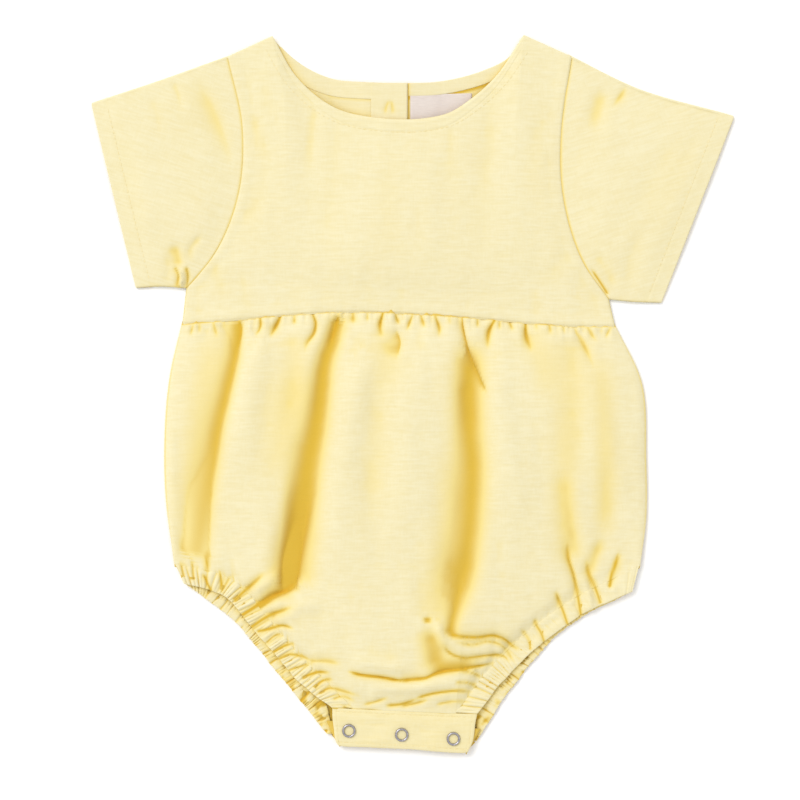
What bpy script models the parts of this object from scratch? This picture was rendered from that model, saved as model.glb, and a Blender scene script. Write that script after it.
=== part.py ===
"""A baby romper laid face up on a table, built as the pieces that are cut and sewn.

Lengths in the tables are millimetres. x runs across the romper from its centre front, y runs from
the crotch up to the neck, and z is the height of the middle of the cloth above the table.
"""

import math
from collections import namedtuple

import bmesh
import bpy
import numpy as np

MM = 0.001
CLOTH = 1.0  # one ply of linen
GAP = 0.3  # room left between two pieces
FLAT_Z = CLOTH / 2  # the middle of a ply that lies on the table
NEXT_PLY = CLOTH + GAP  # from the middle of one ply to the middle of the ply on it

Point = namedtuple("Point", "x y z")
Fold = namedtuple("Fold", "x_top y_top x_mid y_mid x_end y_end half_width height")


# ---------------------------------------------------------------- lines and panels


def smooth_step(value, low, high):
    """0 below low, 1 above high, with an even S between them."""
    share = np.clip((value - low) / (high - low), 0, 1)
    return share * share * (3 - 2 * share)


def through(rows):
    """A smooth line through the rows' points, as a function of the share of its length."""
    knots = np.array(rows, float)
    place = np.concatenate([[0], np.cumsum(np.linalg.norm(np.diff(knots, axis=0), axis=1))])
    slope = np.gradient(knots, place, axis=0)
    fine = np.unique(np.concatenate([np.linspace(0, place[-1], 160), place]))
    span = np.clip(np.searchsorted(place, fine, side="right") - 1, 0, len(place) - 2)
    width = (place[span + 1] - place[span])[:, None]
    t = (fine - place[span])[:, None] / width
    points = (
        knots[span] * (1 + 2 * t) * (1 - t) ** 2
        + slope[span] * width * t * (1 - t) ** 2
        + knots[span + 1] * t * t * (3 - 2 * t)
        + slope[span + 1] * width * t * t * (t - 1)
    )
    length = np.concatenate([[0], np.cumsum(np.linalg.norm(np.diff(points, axis=0), axis=1))])
    share = length / length[-1]

    def at(t):
        return np.stack([np.interp(t, share, points[:, axis]) for axis in range(3)], axis=-1)

    return at


def joined(*parts):
    """Lines end to end. Each part is (the share of the whole at which it ends, the line)."""

    def at(t):
        t = np.asarray(t, float)
        start, found = 0.0, np.zeros(t.shape + (3,))
        for end, line in parts:
            here = (t >= start) if end == 1 else (t >= start) & (t < end)
            found[here] = line((t[here] - start) / (end - start))
            start = end
        return found

    return at


def stretch(line, first, last):
    """The part of a line between two shares of it."""
    return lambda t: line(first + (last - first) * np.asarray(t, float))


def on_table(line):
    """The same line at the height of the ply that lies on the table."""
    return lambda t: line(t) * [1, 1, 0] + [0, 0, FLAT_Z]


def side_of(line, t):
    """Unit vectors across a line in the plane of the table, to the left of its direction."""
    step = 0.01
    ahead = line(np.clip(t + step, 0, 1)) - line(np.clip(t - step, 0, 1))
    across = np.stack([-ahead[..., 1], ahead[..., 0], 0 * ahead[..., 0]], axis=-1)
    return across / np.linalg.norm(across, axis=-1, keepdims=True)


def beside(line, distance):
    """A line moved to its left by a distance, or to its right by a negative one."""
    return lambda t: line(t) + distance * side_of(line, np.asarray(t, float))


def between(bottom, top, left, right):
    """The surface that four lines bound: across it from left to right, and up it from bottom to top.

    The left and right lines are drawn to meet the ends of the other two.
    """
    ends = np.array([0.0, 1.0])
    corners = np.array([bottom(ends), top(ends)])

    def side(line, column, v):
        missing = corners[:, column] - line(ends)
        return line(v[:, 0]) + (1 - v) * missing[0] + v * missing[1]

    def at(across, up):
        u, v = across[:, None], up[:, None]
        return (
            (1 - v) * bottom(across)
            + v * top(across)
            + (1 - u) * side(left, 0, v)
            + u * side(right, 1, v)
            - (1 - v) * ((1 - u) * corners[0][0] + u * corners[0][1])
            - v * ((1 - u) * corners[1][0] + u * corners[1][1])
        )

    return at


def fold_heights(places, folds):
    """How far each fold lifts or sinks the cloth at these places. A fold is narrow where it starts."""
    lift = np.zeros(len(places))
    for fold in folds:
        top = (fold.x_top, fold.y_top, 0)
        middle = (fold.x_mid, fold.y_mid, 0)
        line = through([top, middle, (fold.x_end, fold.y_end, 0)])
        t = np.linspace(0, 1, 24)
        route = line(t)[:, :2]
        apart = np.linalg.norm(places[:, None, :2] - route[None], axis=2)
        nearest = apart.argmin(axis=1)
        share = t[nearest]
        spread = fold.half_width * (0.45 + 0.55 * smooth_step(share, 0, 0.5))
        ends = smooth_step(share, -0.05, 0.12) * (1 - smooth_step(share, 0.7, 1.0))
        lift += fold.height * ends * np.exp(-((apart.min(axis=1) / spread) ** 2))
    return lift


def cloth(name, surface, columns, rows, wall, material):
    """A wall of cloth: a grid laid on surface(across, up), given its thickness on both sides.

    columns is their number, or the shares across at which they lie.
    """
    columns = np.linspace(0, 1, columns + 1) if isinstance(columns, int) else np.array(columns)
    bm = bmesh.new()
    bmesh.ops.create_grid(bm, x_segments=len(columns) - 1, y_segments=rows, size=0.5)
    shares = np.array([vert.co for vert in bm.verts]) + 0.5
    across = np.interp(shares[:, 0], np.linspace(0, 1, len(columns)), columns)
    places = surface(across, shares[:, 1])
    for vert, place in zip(bm.verts, places):
        vert.co = place * MM
    mesh = bpy.data.meshes.new(name)
    bm.to_mesh(mesh)
    bm.free()
    piece = add_piece(name, mesh, material)
    thickness = piece.modifiers.new("wall", "SOLIDIFY")
    thickness.thickness = wall * MM
    thickness.offset = 0
    return piece


def add_piece(name, mesh, material):
    piece = bpy.data.objects.new(name, mesh)
    piece.data.materials.append(material)
    romper.objects.link(piece)
    piece.parent = origin
    return piece


def make_material(name, colour, roughness, metallic=0.0):
    material = bpy.data.materials.new(name)
    material.use_nodes = True
    shader = material.node_tree.nodes["Principled BSDF"]
    shader.inputs["Base Color"].default_value = (*colour, 1)
    shader.inputs["Roughness"].default_value = roughness
    shader.inputs["Metallic"].default_value = metallic
    return material


# ---------------------------------------------------------------- the scene

for old in list(bpy.data.objects):
    bpy.data.objects.remove(old)
romper = bpy.data.collections.new("baby_romper")
bpy.context.scene.collection.children.link(romper)

LINEN = make_material("yellow_linen", (0.90, 0.80, 0.45), 0.9)
FACING_LINEN = make_material("facing_linen", (0.92, 0.84, 0.52), 0.9)
SATIN = make_material("label_satin", (0.84, 0.76, 0.69), 0.5)
STEEL = make_material("snap_steel", (0.62, 0.60, 0.62), 0.25, metallic=1.0)
SHELL = make_material("button_shell", (0.85, 0.75, 0.48), 0.35)

# ---------------------------------------------------------------- seam lines of the romper
# Lines across run from left to right, and lines up the romper run from the crotch to the neck.

NECK_POINT_LEFT = Point(-76.8, 213.3, 3.2)
NECK_POINT_RIGHT = Point(73.6, 213.9, 3.2)
SHOULDER_LEFT = Point(-103.5, 201.1, 2.7)
SHOULDER_RIGHT = Point(102.2, 201.1, 2.7)
UNDERARM_LEFT = Point(-128.4, 63.3, 1.8)
UNDERARM_RIGHT = Point(124.5, 56.7, 1.8)
WAIST_LEFT = Point(-130.8, 41.7, 1.8)
WAIST_RIGHT = Point(128.2, 40.5, 1.8)

FRONT_NECK = through([
    NECK_POINT_LEFT,
    Point(-64.4, 191.3, 3.6),
    Point(-41.7, 172.5, 5.6),
    Point(0.0, 165.3, 7.6),
    Point(28.0, 171.2, 6.4),
    Point(56.6, 191.3, 3.8),
    NECK_POINT_RIGHT,
])
BACK_NECK = through([
    NECK_POINT_LEFT,
    Point(-57.3, 196.5, FLAT_Z),
    Point(-23.4, 187.5, FLAT_Z),
    Point(22.8, 187.4, FLAT_Z),
    Point(51.4, 195.2, FLAT_Z),
    NECK_POINT_RIGHT,
])
ARMHOLE_LEFT = through([
    UNDERARM_LEFT,
    Point(-112.0, 82.7, 3.4),
    Point(-96.3, 123.0, 4.2),
    Point(-94.8, 160.0, 3.8),
    SHOULDER_LEFT,
])
ARMHOLE_RIGHT = through([
    UNDERARM_RIGHT,
    Point(110.0, 77.5, 3.4),
    Point(97.2, 118.0, 4.2),
    Point(95.9, 155.0, 3.8),
    SHOULDER_RIGHT,
])
WAIST = through([
    WAIST_LEFT,
    Point(-99.0, 44.3, 3.4),
    Point(-36.6, 48.9, 4.9),
    Point(38.4, 45.7, 4.9),
    Point(103.5, 40.5, 3.4),
    WAIST_RIGHT,
])
SHOULDER_SEAM_LEFT = through([SHOULDER_LEFT, NECK_POINT_LEFT])
SHOULDER_SEAM_RIGHT = through([NECK_POINT_RIGHT, SHOULDER_RIGHT])
BODICE_SIDE_LEFT = through([WAIST_LEFT, UNDERARM_LEFT])
BODICE_SIDE_RIGHT = through([WAIST_RIGHT, UNDERARM_RIGHT])

# ---------------------------------------------------------------- front bodice

SEAM_ROOM = 0.3  # each piece keeps this far from its seam line, so two of them leave more than GAP
NECK_START, NECK_END = 0.15, 0.85  # shares of the bodice's top line where the neck begins and ends
UNDERARM_SHARE = 0.125  # share of the bodice's side line where the armhole begins
BODICE_CROWN = 2.4


def bodice_edges(waist, neck):
    """The four lines round a bodice panel, each a little inside its seam."""
    top = joined((NECK_START, SHOULDER_SEAM_LEFT), (NECK_END, neck), (1, SHOULDER_SEAM_RIGHT))
    left = joined((UNDERARM_SHARE, BODICE_SIDE_LEFT), (1, beside(ARMHOLE_LEFT, -SEAM_ROOM)))
    right = joined((UNDERARM_SHARE, BODICE_SIDE_RIGHT), (1, beside(ARMHOLE_RIGHT, SEAM_ROOM)))
    return beside(waist, SEAM_ROOM), top, left, right


def front_bodice_surface(across, up):
    places = between(*bodice_edges(WAIST, FRONT_NECK))(across, up)
    places[:, 2] += BODICE_CROWN * (np.sin(math.pi * across) * np.sin(math.pi * up)) ** 0.6
    return places


def make_front_bodice():
    cloth("front_bodice", front_bodice_surface, 20, 16, CLOTH, LINEN)


# ---------------------------------------------------------------- back bodice
# Two halves lap at the centre back and button there: the left half's lap lies inside the right half's.

INNER_LAP_EDGE = 3.6
OUTER_LAP_EDGE = -20.0
BUTTON_ROOM = 2.1  # the laps rise this far, because the buttons lie between them and the table
LAP_FLAT_UP_TO, LAP_LEVEL_FROM = 48.0, 78.0  # the heights up the back between which that rise grows
LAP_GAP = 0.5
LEFT_RISE_FROM, LEFT_RISE_TO = -42.0, -21.5  # across the left half, where it climbs over the right one
RIGHT_FALL_FROM, RIGHT_FALL_TO = 6.0, 24.0  # across the right half, where it comes down to the table


def slope(value, low, high):
    """0 below low, 1 above high, and straight between them."""
    return np.clip((value - low) / (high - low), 0, 1)


def lap_rise(y):
    return BUTTON_ROOM * slope(y, LAP_FLAT_UP_TO, LAP_LEVEL_FROM)


def left_half_height(x, y):
    return FLAT_Z + slope(x, LEFT_RISE_FROM, LEFT_RISE_TO) * (CLOTH + LAP_GAP + lap_rise(y))


def right_half_height(x, y):
    return FLAT_Z + (1 - slope(x, RIGHT_FALL_FROM, RIGHT_FALL_TO)) * lap_rise(y)


def columns_through(line, stops):
    """Shares along a line for a panel's columns. stops are (the x of a stop, columns up to it)."""
    shares = [0.0]
    for x, count in stops:
        stop = 1.0 if x is None else share_where(line, x)
        shares.extend(np.linspace(shares[-1], stop, count + 1)[1:])
    return shares


def lies_at(surface, height, above=0.0):
    """A surface laid on a half of the back: its heights come from that half's."""

    def at(across, up):
        places = surface(across, up)
        places[:, 2] = height(places[:, 0], places[:, 1]) + above
        return places

    return at


def share_where(line, x):
    """The share of a line across the romper at which it reaches x."""
    shares = np.linspace(0, 1, 801)
    return float(np.interp(x, line(shares)[:, 0], shares))


def make_back_bodice():
    _, _, left, right = bodice_edges(WAIST, BACK_NECK)
    waist = beside(WAIST, SEAM_ROOM)

    neck_end = share_where(BACK_NECK, INNER_LAP_EDGE)
    waist_end = share_where(WAIST, INNER_LAP_EDGE)
    bottom = stretch(waist, 0, waist_end)
    top = joined((0.25, SHOULDER_SEAM_LEFT), (1, stretch(BACK_NECK, 0, neck_end)))
    edge = through([bottom(np.array([1.0]))[0], top(np.array([1.0]))[0]])
    half = between(bottom, top, left, edge)
    columns = columns_through(bottom, ((LEFT_RISE_FROM, 10), (LEFT_RISE_TO, 2), (None, 3)))
    cloth("back_bodice_left", lies_at(half, left_half_height), columns, 12, CLOTH, LINEN)

    neck_start = share_where(BACK_NECK, OUTER_LAP_EDGE)
    waist_start = share_where(WAIST, OUTER_LAP_EDGE)
    bottom = stretch(waist, waist_start, 1)
    top = joined((0.75, stretch(BACK_NECK, neck_start, 1)), (1, SHOULDER_SEAM_RIGHT))
    edge = through([bottom(np.array([0.0]))[0], top(np.array([0.0]))[0]])
    half = between(bottom, top, edge, right)
    columns = columns_through(bottom, ((RIGHT_FALL_FROM, 3), (RIGHT_FALL_TO, 2), (None, 10)))
    cloth("back_bodice_right", lies_at(half, right_half_height), columns, 12, CLOTH, LINEN)


# ---------------------------------------------------------------- neck facing, label and buttons

FACING_WIDTH = 9.0
LABEL_LEFT, LABEL_RIGHT, LABEL_LENGTH = 5.2, 41.5, 20.0
BUTTON_RADIUS, BUTTON_THICK = 5.5, 1.8
BUTTON_X, BUTTON_YS = -9.6, (167.0, 125.0, 83.0)
BAND_INSET = 2.5  # from the outer lap's edge to the turned-in band of the inner lap


def facing_strip(first, last):
    """The surface just under the back neck edge between two shares of it."""
    edge = stretch(BACK_NECK, first, last)
    lower = beside(edge, -FACING_WIDTH)

    def at(across, up):
        v = up[:, None]
        return (1 - v) * lower(across) + v * edge(across)

    return at


def make_neck_facing():
    left_end = share_where(BACK_NECK, OUTER_LAP_EDGE + BAND_INSET - 2 * GAP)
    right_start = share_where(BACK_NECK, INNER_LAP_EDGE + 1.0)
    strip = lies_at(facing_strip(0.03, left_end), left_half_height, NEXT_PLY)
    cloth("neck_facing_left", strip, 10, 1, CLOTH, FACING_LINEN)
    strip = lies_at(facing_strip(right_start, 0.97), right_half_height, NEXT_PLY)
    cloth("neck_facing_right", strip, 14, 1, CLOTH, FACING_LINEN)


def make_button_band():
    """The centre back edge of the left half, turned in and pressed flat on it."""
    places = [share_where(BACK_NECK, x) for x in (OUTER_LAP_EDGE + BAND_INSET, INNER_LAP_EDGE - GAP)]
    waist = beside(WAIST, 2 * SEAM_ROOM)
    feet = [share_where(WAIST, x) for x in (OUTER_LAP_EDGE + BAND_INSET, INNER_LAP_EDGE - GAP)]
    top, bottom = stretch(BACK_NECK, *places), stretch(waist, *feet)

    def at(across, up):
        v = up[:, None]
        return (1 - v) * bottom(across) + v * top(across)

    cloth("back_button_band", lies_at(at, left_half_height, NEXT_PLY), 2, 12, CLOTH, FACING_LINEN)


def make_label():
    """A plain woven label that hangs from under the right-hand facing."""
    first, last = (share_where(BACK_NECK, x) for x in (LABEL_LEFT, LABEL_RIGHT))
    top = beside(stretch(BACK_NECK, first, last), -FACING_WIDTH - GAP)

    def at(across, up):
        hung = top(across)
        straight = hung[:, 1].min() - LABEL_LENGTH
        hung[:, 1] = straight + (hung[:, 1] - straight) * up
        return hung

    cloth("label", lies_at(at, right_half_height, NEXT_PLY), 10, 2, CLOTH, SATIN)


def add_disc(name, radius, thick, x, y, bottom, material, segments):
    bm = bmesh.new()
    bmesh.ops.create_cone(
        bm, cap_ends=True, segments=segments, radius1=radius * MM, radius2=radius * MM, depth=thick * MM
    )
    mesh = bpy.data.meshes.new(name)
    bm.to_mesh(mesh)
    bm.free()
    disc = add_piece(name, mesh, material)
    disc.location = (x * MM, y * MM, (bottom + thick / 2) * MM)
    return disc


def make_buttons():
    for number, y in enumerate(BUTTON_YS, 1):
        add_disc(f"back_button_{number}", BUTTON_RADIUS, BUTTON_THICK, BUTTON_X, y, 0, SHELL, 24)


# ---------------------------------------------------------------- sleeves
# Each sleeve is one piece folded along its top, with its edges meeting under the arm.

SLEEVE_TOP_LEFT = through([SHOULDER_LEFT, Point(-147.0, 185.5, 2.8), Point(-184.6, 173.2, 2.7)])
SLEEVE_TOP_RIGHT = through([
    SHOULDER_RIGHT, Point(121.0, 191.2, 2.8), Point(136.0, 184.0, 2.8), Point(198.8, 165.4, 2.7)
])
SLEEVE_UNDER_LEFT = through([UNDERARM_LEFT, Point(-144.0, 64.4, 1.8), Point(-158.1, 63.6, 1.8)])
SLEEVE_UNDER_RIGHT = through([UNDERARM_RIGHT, Point(140.0, 55.2, 1.8), Point(155.5, 54.7, 1.8)])
SLEEVE_CROWN = 1.8
FRONT_SHARE, BACK_SHARE = 0.4, 0.6  # the fold along the top lies between these shares of the piece


def make_sleeve(name, armhole, top_line, under_line, outward):
    """outward is -1 on the left, where the sleeve runs towards -x, and 1 on the right."""
    seam = beside(armhole, -outward * SEAM_ROOM)
    hem = through([under_line(np.array([1.0]))[0], top_line(np.array([1.0]))[0]])

    def layer(down, out):
        """A place on the flat sleeve: down it from its top fold, and out from the armhole to the hem."""
        up = 1 - down
        return between(seam, hem, under_line, top_line)(up, out)

    def at(round_it, out):
        front = round_it <= FRONT_SHARE
        back = round_it >= BACK_SHARE
        under = (round_it - BACK_SHARE) / (1 - BACK_SHARE)
        down = np.where(front, 1 - round_it / FRONT_SHARE, np.where(back, under, 0))
        places = layer(down, out)
        crown = SLEEVE_CROWN * np.sin(math.pi * down) ** 0.7 * smooth_step(out, 0, 0.35)
        top_z = places[:, 2] + crown
        turn = math.pi * np.clip((round_it - FRONT_SHARE) / (BACK_SHARE - FRONT_SHARE), 0, 1)
        radius = (places[:, 2] - FLAT_Z) / 2
        places[:, 1] += np.where(front | back, 0, radius * np.sin(turn))
        in_turn = FLAT_Z + radius * (1 + np.cos(turn))
        places[:, 2] = np.where(front, top_z, np.where(back, FLAT_Z, in_turn))
        return places

    if outward > 0:
        cloth(name, at, 20, 8, CLOTH, LINEN)
    else:
        cloth(name, lambda a, b: at(1 - a, b), 20, 8, CLOTH, LINEN)


def make_sleeves():
    make_sleeve("sleeve_left", ARMHOLE_LEFT, SLEEVE_TOP_LEFT, SLEEVE_UNDER_LEFT, -1)
    make_sleeve("sleeve_right", ARMHOLE_RIGHT, SLEEVE_TOP_RIGHT, SLEEVE_UNDER_RIGHT, 1)


# ---------------------------------------------------------------- leg casings
# Each leg edge is a channel of linen gathered on elastic. The front edges lie on the back ones.

CASING = 2.2  # linen, elastic and linen together
CASING_WIDTH = 10.5
LEG_COLUMNS = 14  # of the casings and of the skirt panels above them, so that their edges stay parallel
BACK_CASING_Z = CASING / 2
FRONT_CASING_Z = CASING + GAP + CASING / 2
CASING_END_WIDTH = 12.5  # where a front casing's end is caught slantwise in the placket seam
BACK_END_WIDTH = 4.4  # where the elastic draws a back casing's end in to the band's seam

FRONT_LEG_LEFT = through([
    Point(-129.6, -113.0, FRONT_CASING_Z),
    Point(-109.3, -118.5, FRONT_CASING_Z),
    Point(-82.9, -146.4, FRONT_CASING_Z),
    Point(-58.0, -174.3, FRONT_CASING_Z),
    Point(-41.2, -187.0, FRONT_CASING_Z),
])
FRONT_LEG_RIGHT = through([
    Point(45.4, -190.8, FRONT_CASING_Z),
    Point(59.1, -173.3, FRONT_CASING_Z),
    Point(86.0, -147.4, FRONT_CASING_Z),
    Point(112.0, -129.4, FRONT_CASING_Z),
    Point(138.6, -117.5, FRONT_CASING_Z),
])
BACK_LEG_LEFT = through([
    Point(-129.6, -113.0, BACK_CASING_Z),
    Point(-100.8, -134.5, BACK_CASING_Z),
    Point(-76.9, -162.3, BACK_CASING_Z),
    Point(-43.8, -203.5, BACK_CASING_Z),
])
BACK_LEG_RIGHT = through([
    Point(44.8, -207.8, BACK_CASING_Z),
    Point(67.1, -174.3, BACK_CASING_Z),
    Point(98.9, -139.4, BACK_CASING_Z),
    Point(138.6, -117.5, BACK_CASING_Z),
])
SIDE_END_LEFT = Point(-135.0, -101.7, 0)
SIDE_END_RIGHT = Point(142.6, -102.7, 0)


def casing_inner(leg, start_reach, end_reach):
    """The casing's inner edge. At its two ends it reaches along the side seam and along the placket."""

    def at(t):
        t = np.asarray(t, float)
        reach = CASING_WIDTH * side_of(leg, t)
        near_start = (1 - smooth_step(t, 0, 0.16))[..., None]
        near_end = smooth_step(t, 0.86, 1)[..., None]
        at_ends = near_start * np.array(start_reach) + near_end * np.array(end_reach)
        return leg(t) + reach * (1 - near_start - near_end) + at_ends

    return at


def reach_to(leg, end, side_end):
    """From an end of a leg line to the end of the side seam above it."""
    corner = leg(np.array([float(end)]))[0]
    return (side_end.x - corner[0], side_end.y - corner[1], 0)


ALONG_PLACKET_LEFT = (CASING_END_WIDTH, -0.6, 0)
ALONG_PLACKET_RIGHT = (-CASING_END_WIDTH, 0.5, 0)
ALONG_BAND_LEFT = (BACK_END_WIDTH, -0.25, 0)
ALONG_BAND_RIGHT = (-BACK_END_WIDTH, 0.25, 0)
FRONT_SIDE_LEFT = reach_to(FRONT_LEG_LEFT, 0, SIDE_END_LEFT)
FRONT_SIDE_RIGHT = reach_to(FRONT_LEG_RIGHT, 1, SIDE_END_RIGHT)
FRONT_INNER_LEFT = casing_inner(FRONT_LEG_LEFT, FRONT_SIDE_LEFT, ALONG_PLACKET_LEFT)
FRONT_INNER_RIGHT = casing_inner(FRONT_LEG_RIGHT, ALONG_PLACKET_RIGHT, FRONT_SIDE_RIGHT)
BACK_INNER_LEFT = casing_inner(BACK_LEG_LEFT, reach_to(BACK_LEG_LEFT, 0, SIDE_END_LEFT), ALONG_BAND_LEFT)
BACK_INNER_RIGHT = casing_inner(BACK_LEG_RIGHT, ALONG_BAND_RIGHT, reach_to(BACK_LEG_RIGHT, 1, SIDE_END_RIGHT))


def make_casing(name, leg, inner):
    def at(along, in_from_edge):
        v = in_from_edge[:, None]
        return (1 - v) * leg(along) + v * inner(along)

    cloth(name, at, LEG_COLUMNS, 1, CASING, LINEN)


def make_casings():
    make_casing("front_casing_left", FRONT_LEG_LEFT, FRONT_INNER_LEFT)
    make_casing("front_casing_right", FRONT_LEG_RIGHT, FRONT_INNER_RIGHT)
    make_casing("back_casing_left", BACK_LEG_LEFT, BACK_INNER_LEFT)
    make_casing("back_casing_right", BACK_LEG_RIGHT, BACK_INNER_RIGHT)


# ---------------------------------------------------------------- crotch plackets and snaps

PLACKET = 1.2  # two plies pressed together
SNAP_THICK = 1.2
BACK_PLACKET_Z = FLAT_Z + NEXT_PLY
SNAP_Z = BACK_PLACKET_Z + CLOTH / 2 + GAP
FRONT_PLACKET_Z = SNAP_Z + SNAP_THICK + GAP + PLACKET / 2
RING_Z = FRONT_PLACKET_Z + PLACKET / 2 + GAP

PLACKET_TOP = through([
    Point(-40.6, -187.7, FRONT_PLACKET_Z),
    Point(0, -189.6, FRONT_PLACKET_Z),
    Point(44.6, -191.4, FRONT_PLACKET_Z),
])
PLACKET_BOTTOM = through([
    Point(-39.0, -209.6, FRONT_PLACKET_Z),
    Point(0, -211.9, FRONT_PLACKET_Z),
    Point(41.8, -214.1, FRONT_PLACKET_Z),
])
SNAP_PLACES = ((-31.0, -201.2), (0.5, -203.6), (31.4, -206.0))
RING_RADIUS, RING_WIRE = 3.45, 0.85
SNAP_RADIUS = 4.2


def make_front_placket():
    def at(across, up):
        v = up[:, None]
        return (1 - v) * PLACKET_BOTTOM(across) + v * PLACKET_TOP(across)

    cloth("front_placket", at, 10, 2, PLACKET, LINEN)


BACK_BAND_INSET = 1.2  # the back band's fold stays this far behind the front placket's edge
BACK_BAND_END = 3.0  # how far up the underside the back band reaches
BAND_SPREAD, BAND_TUCK = 0.07, 0.08  # how much wider it is there, and narrower where it is hidden


def band_edge(t):
    """The line under the romper at which the back band is sewn to the back skirt."""
    reach = BACK_BAND_INSET + NEXT_PLY / 2 + CLOTH / 2 + BACK_BAND_END
    return PLACKET_BOTTOM(t) * [1 + BAND_SPREAD, 1, 0] + [0, reach, FLAT_Z]


def make_back_placket():
    """A band sewn to the back's lower edge, which turns up and lies under the front placket."""
    fold_radius = (BACK_PLACKET_Z - FLAT_Z) / 2
    turn_start, turn_end = 0.25, 0.5

    def at(across, along):
        bottom, top = PLACKET_BOTTOM(across), PLACKET_TOP(across)
        fold_y = bottom[:, 1] + BACK_BAND_INSET + fold_radius + CLOTH / 2
        turn = math.pi * np.clip((along - turn_start) / (turn_end - turn_start), 0, 1)
        lower = np.clip(1 - along / turn_start, 0, 1) * BACK_BAND_END
        upper = np.clip((along - turn_end) / (1 - turn_end), 0, 1) * (top[:, 1] - fold_y - 1)
        tucked = BAND_TUCK * slope(along, turn_start, turn_end)
        bottom[:, 0] *= 1 + BAND_SPREAD * lower / BACK_BAND_END - tucked
        bottom[:, 1] = fold_y + lower + upper - fold_radius * np.sin(turn)
        bottom[:, 2] = FLAT_Z + fold_radius * (1 - np.cos(turn))
        return bottom

    cloth("back_placket", lambda u, v: at(1 - u, v), 8, 16, CLOTH, LINEN)


def make_snaps():
    """Each snap is a prong ring on the front placket and the closed socket and stud behind it."""
    for number, (x, y) in enumerate(SNAP_PLACES, 1):
        add_disc(f"snap_stud_{number}", SNAP_RADIUS, SNAP_THICK, x, y, SNAP_Z, STEEL, 20)
        bpy.ops.mesh.primitive_torus_add(
            major_segments=24,
            minor_segments=8,
            major_radius=RING_RADIUS * MM,
            minor_radius=RING_WIRE * MM,
        )
        ring = bpy.context.object
        ring.name = f"snap_ring_{number}"
        ring.data.materials.append(STEEL)
        ring.data.transform(((1, 0, 0, 0), (0, 1, 0, 0), (0, 0, 0.5, 0), (0, 0, 0, 1)))
        ring.location = (x * MM, y * MM, (RING_Z + RING_WIRE / 2) * MM)
        for owner in list(ring.users_collection):
            owner.objects.unlink(ring)
        romper.objects.link(ring)
        ring.parent = origin


# ---------------------------------------------------------------- skirt
# The bubble is gathered into the waist seam above and into the casings and the placket below.

SKIRT_SIDE_LEFT = through([
    SIDE_END_LEFT._replace(z=3.2),
    Point(-140.4, -60.3, 1.9),
    Point(-141.0, -28.0, 1.9),
    Point(-137.6, 12.0, 1.9),
    WAIST_LEFT,
])
SKIRT_SIDE_RIGHT = through([
    SIDE_END_RIGHT._replace(z=3.2),
    Point(146.4, -74.7, 1.9),
    Point(146.4, -38.7, 1.9),
    Point(143.4, 8.0, 1.9),
    WAIST_RIGHT,
])
SKIRT_COLUMNS = 40
LEG_SHARE = LEG_COLUMNS / SKIRT_COLUMNS  # the share of the skirt's lower line that one leg takes
OTHER_LEG_SHARE = 1 - LEG_SHARE  # the share at which the other leg begins
SKIRT_RISE = 9.5

SKIRT_FOLDS = (
    # half_width is in mm, and height is below 0 where the cloth sinks between two ridges
    Fold(-98, 42, -109, 0, -120, -70, 6.0, -4.5),
    Fold(-90, 40, -97, 0, -106, -70, 9.0, 3.0),
    Fold(-35, 46, -57, -20, -68, -112, 9.0, -6.0),
    Fold(-30, 40, -42, -10, -52, -100, 9.0, 3.5),
    Fold(0, 42, 2, 0, -6, -90, 10.0, 2.0),
    Fold(37, 44, 40, -40, 28, -150, 9.0, -6.0),
    Fold(46, 36, 56, -30, 54, -110, 10.0, 2.5),
    Fold(104, 36, 118, 5, 122, -40, 7.0, -2.0),
    Fold(100, -70, 103, -95, 108, -122, 5.0, -2.5),
    Fold(-20, -168, 5, -169, 52, -160, 3.5, -2.5),
)


def skirt_lower(left_inner, right_inner, top_of_placket, room):
    """The skirt's lower line: along one casing, the placket's top and the other casing."""
    first, last = (left_inner(np.array([1.0]))[0, 0], right_inner(np.array([0.0]))[0, 0])
    placket = stretch(top_of_placket, share_where(top_of_placket, first), share_where(top_of_placket, last))
    return joined(
        (LEG_SHARE, beside(left_inner, room)),
        (OTHER_LEG_SHARE, beside(placket, room)),
        (1, beside(right_inner, room)),
    )


def make_front_skirt():
    lower = skirt_lower(FRONT_INNER_LEFT, FRONT_INNER_RIGHT, PLACKET_TOP, GAP)
    panel = between(lower, beside(WAIST, -SEAM_ROOM), SKIRT_SIDE_LEFT, SKIRT_SIDE_RIGHT)

    def at(across, up):
        places = panel(across, up)
        inside = np.clip(4 * across * (1 - across), 0, 1) ** 0.5 * np.clip(4 * up * (1 - up), 0, 1) ** 0.6
        places[:, 2] += SKIRT_RISE * inside
        places[:, 2] += fold_heights(places, SKIRT_FOLDS) * smooth_step(inside, 0, 0.5)
        return places

    cloth("front_skirt", at, SKIRT_COLUMNS, 22, CLOTH, LINEN)


def make_back_skirt():
    lower = skirt_lower(BACK_INNER_LEFT, BACK_INNER_RIGHT, band_edge, GAP)
    sides = on_table(SKIRT_SIDE_LEFT), on_table(SKIRT_SIDE_RIGHT)
    panel = between(on_table(lower), on_table(beside(WAIST, -SEAM_ROOM)), *sides)
    cloth("back_skirt", panel, SKIRT_COLUMNS, 8, CLOTH, LINEN)


# ---------------------------------------------------------------- the romper
# The origin is under the middle of the romper's box, and the right sleeve reaches further than the left.

CENTRE_FRONT_X = -7.0
origin = bpy.data.objects.new("origin", None)
romper.objects.link(origin)
origin.location = (CENTRE_FRONT_X * MM, 0, 0)

make_back_skirt()
make_back_bodice()
make_neck_facing()
make_button_band()
make_label()
make_buttons()
make_sleeves()
make_casings()
make_back_placket()
make_front_placket()
make_snaps()
make_front_bodice()
make_front_skirt()
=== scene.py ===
"""The looks of a baby romper in yellow linen, laid face up on a pale table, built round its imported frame."""

import math

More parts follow.
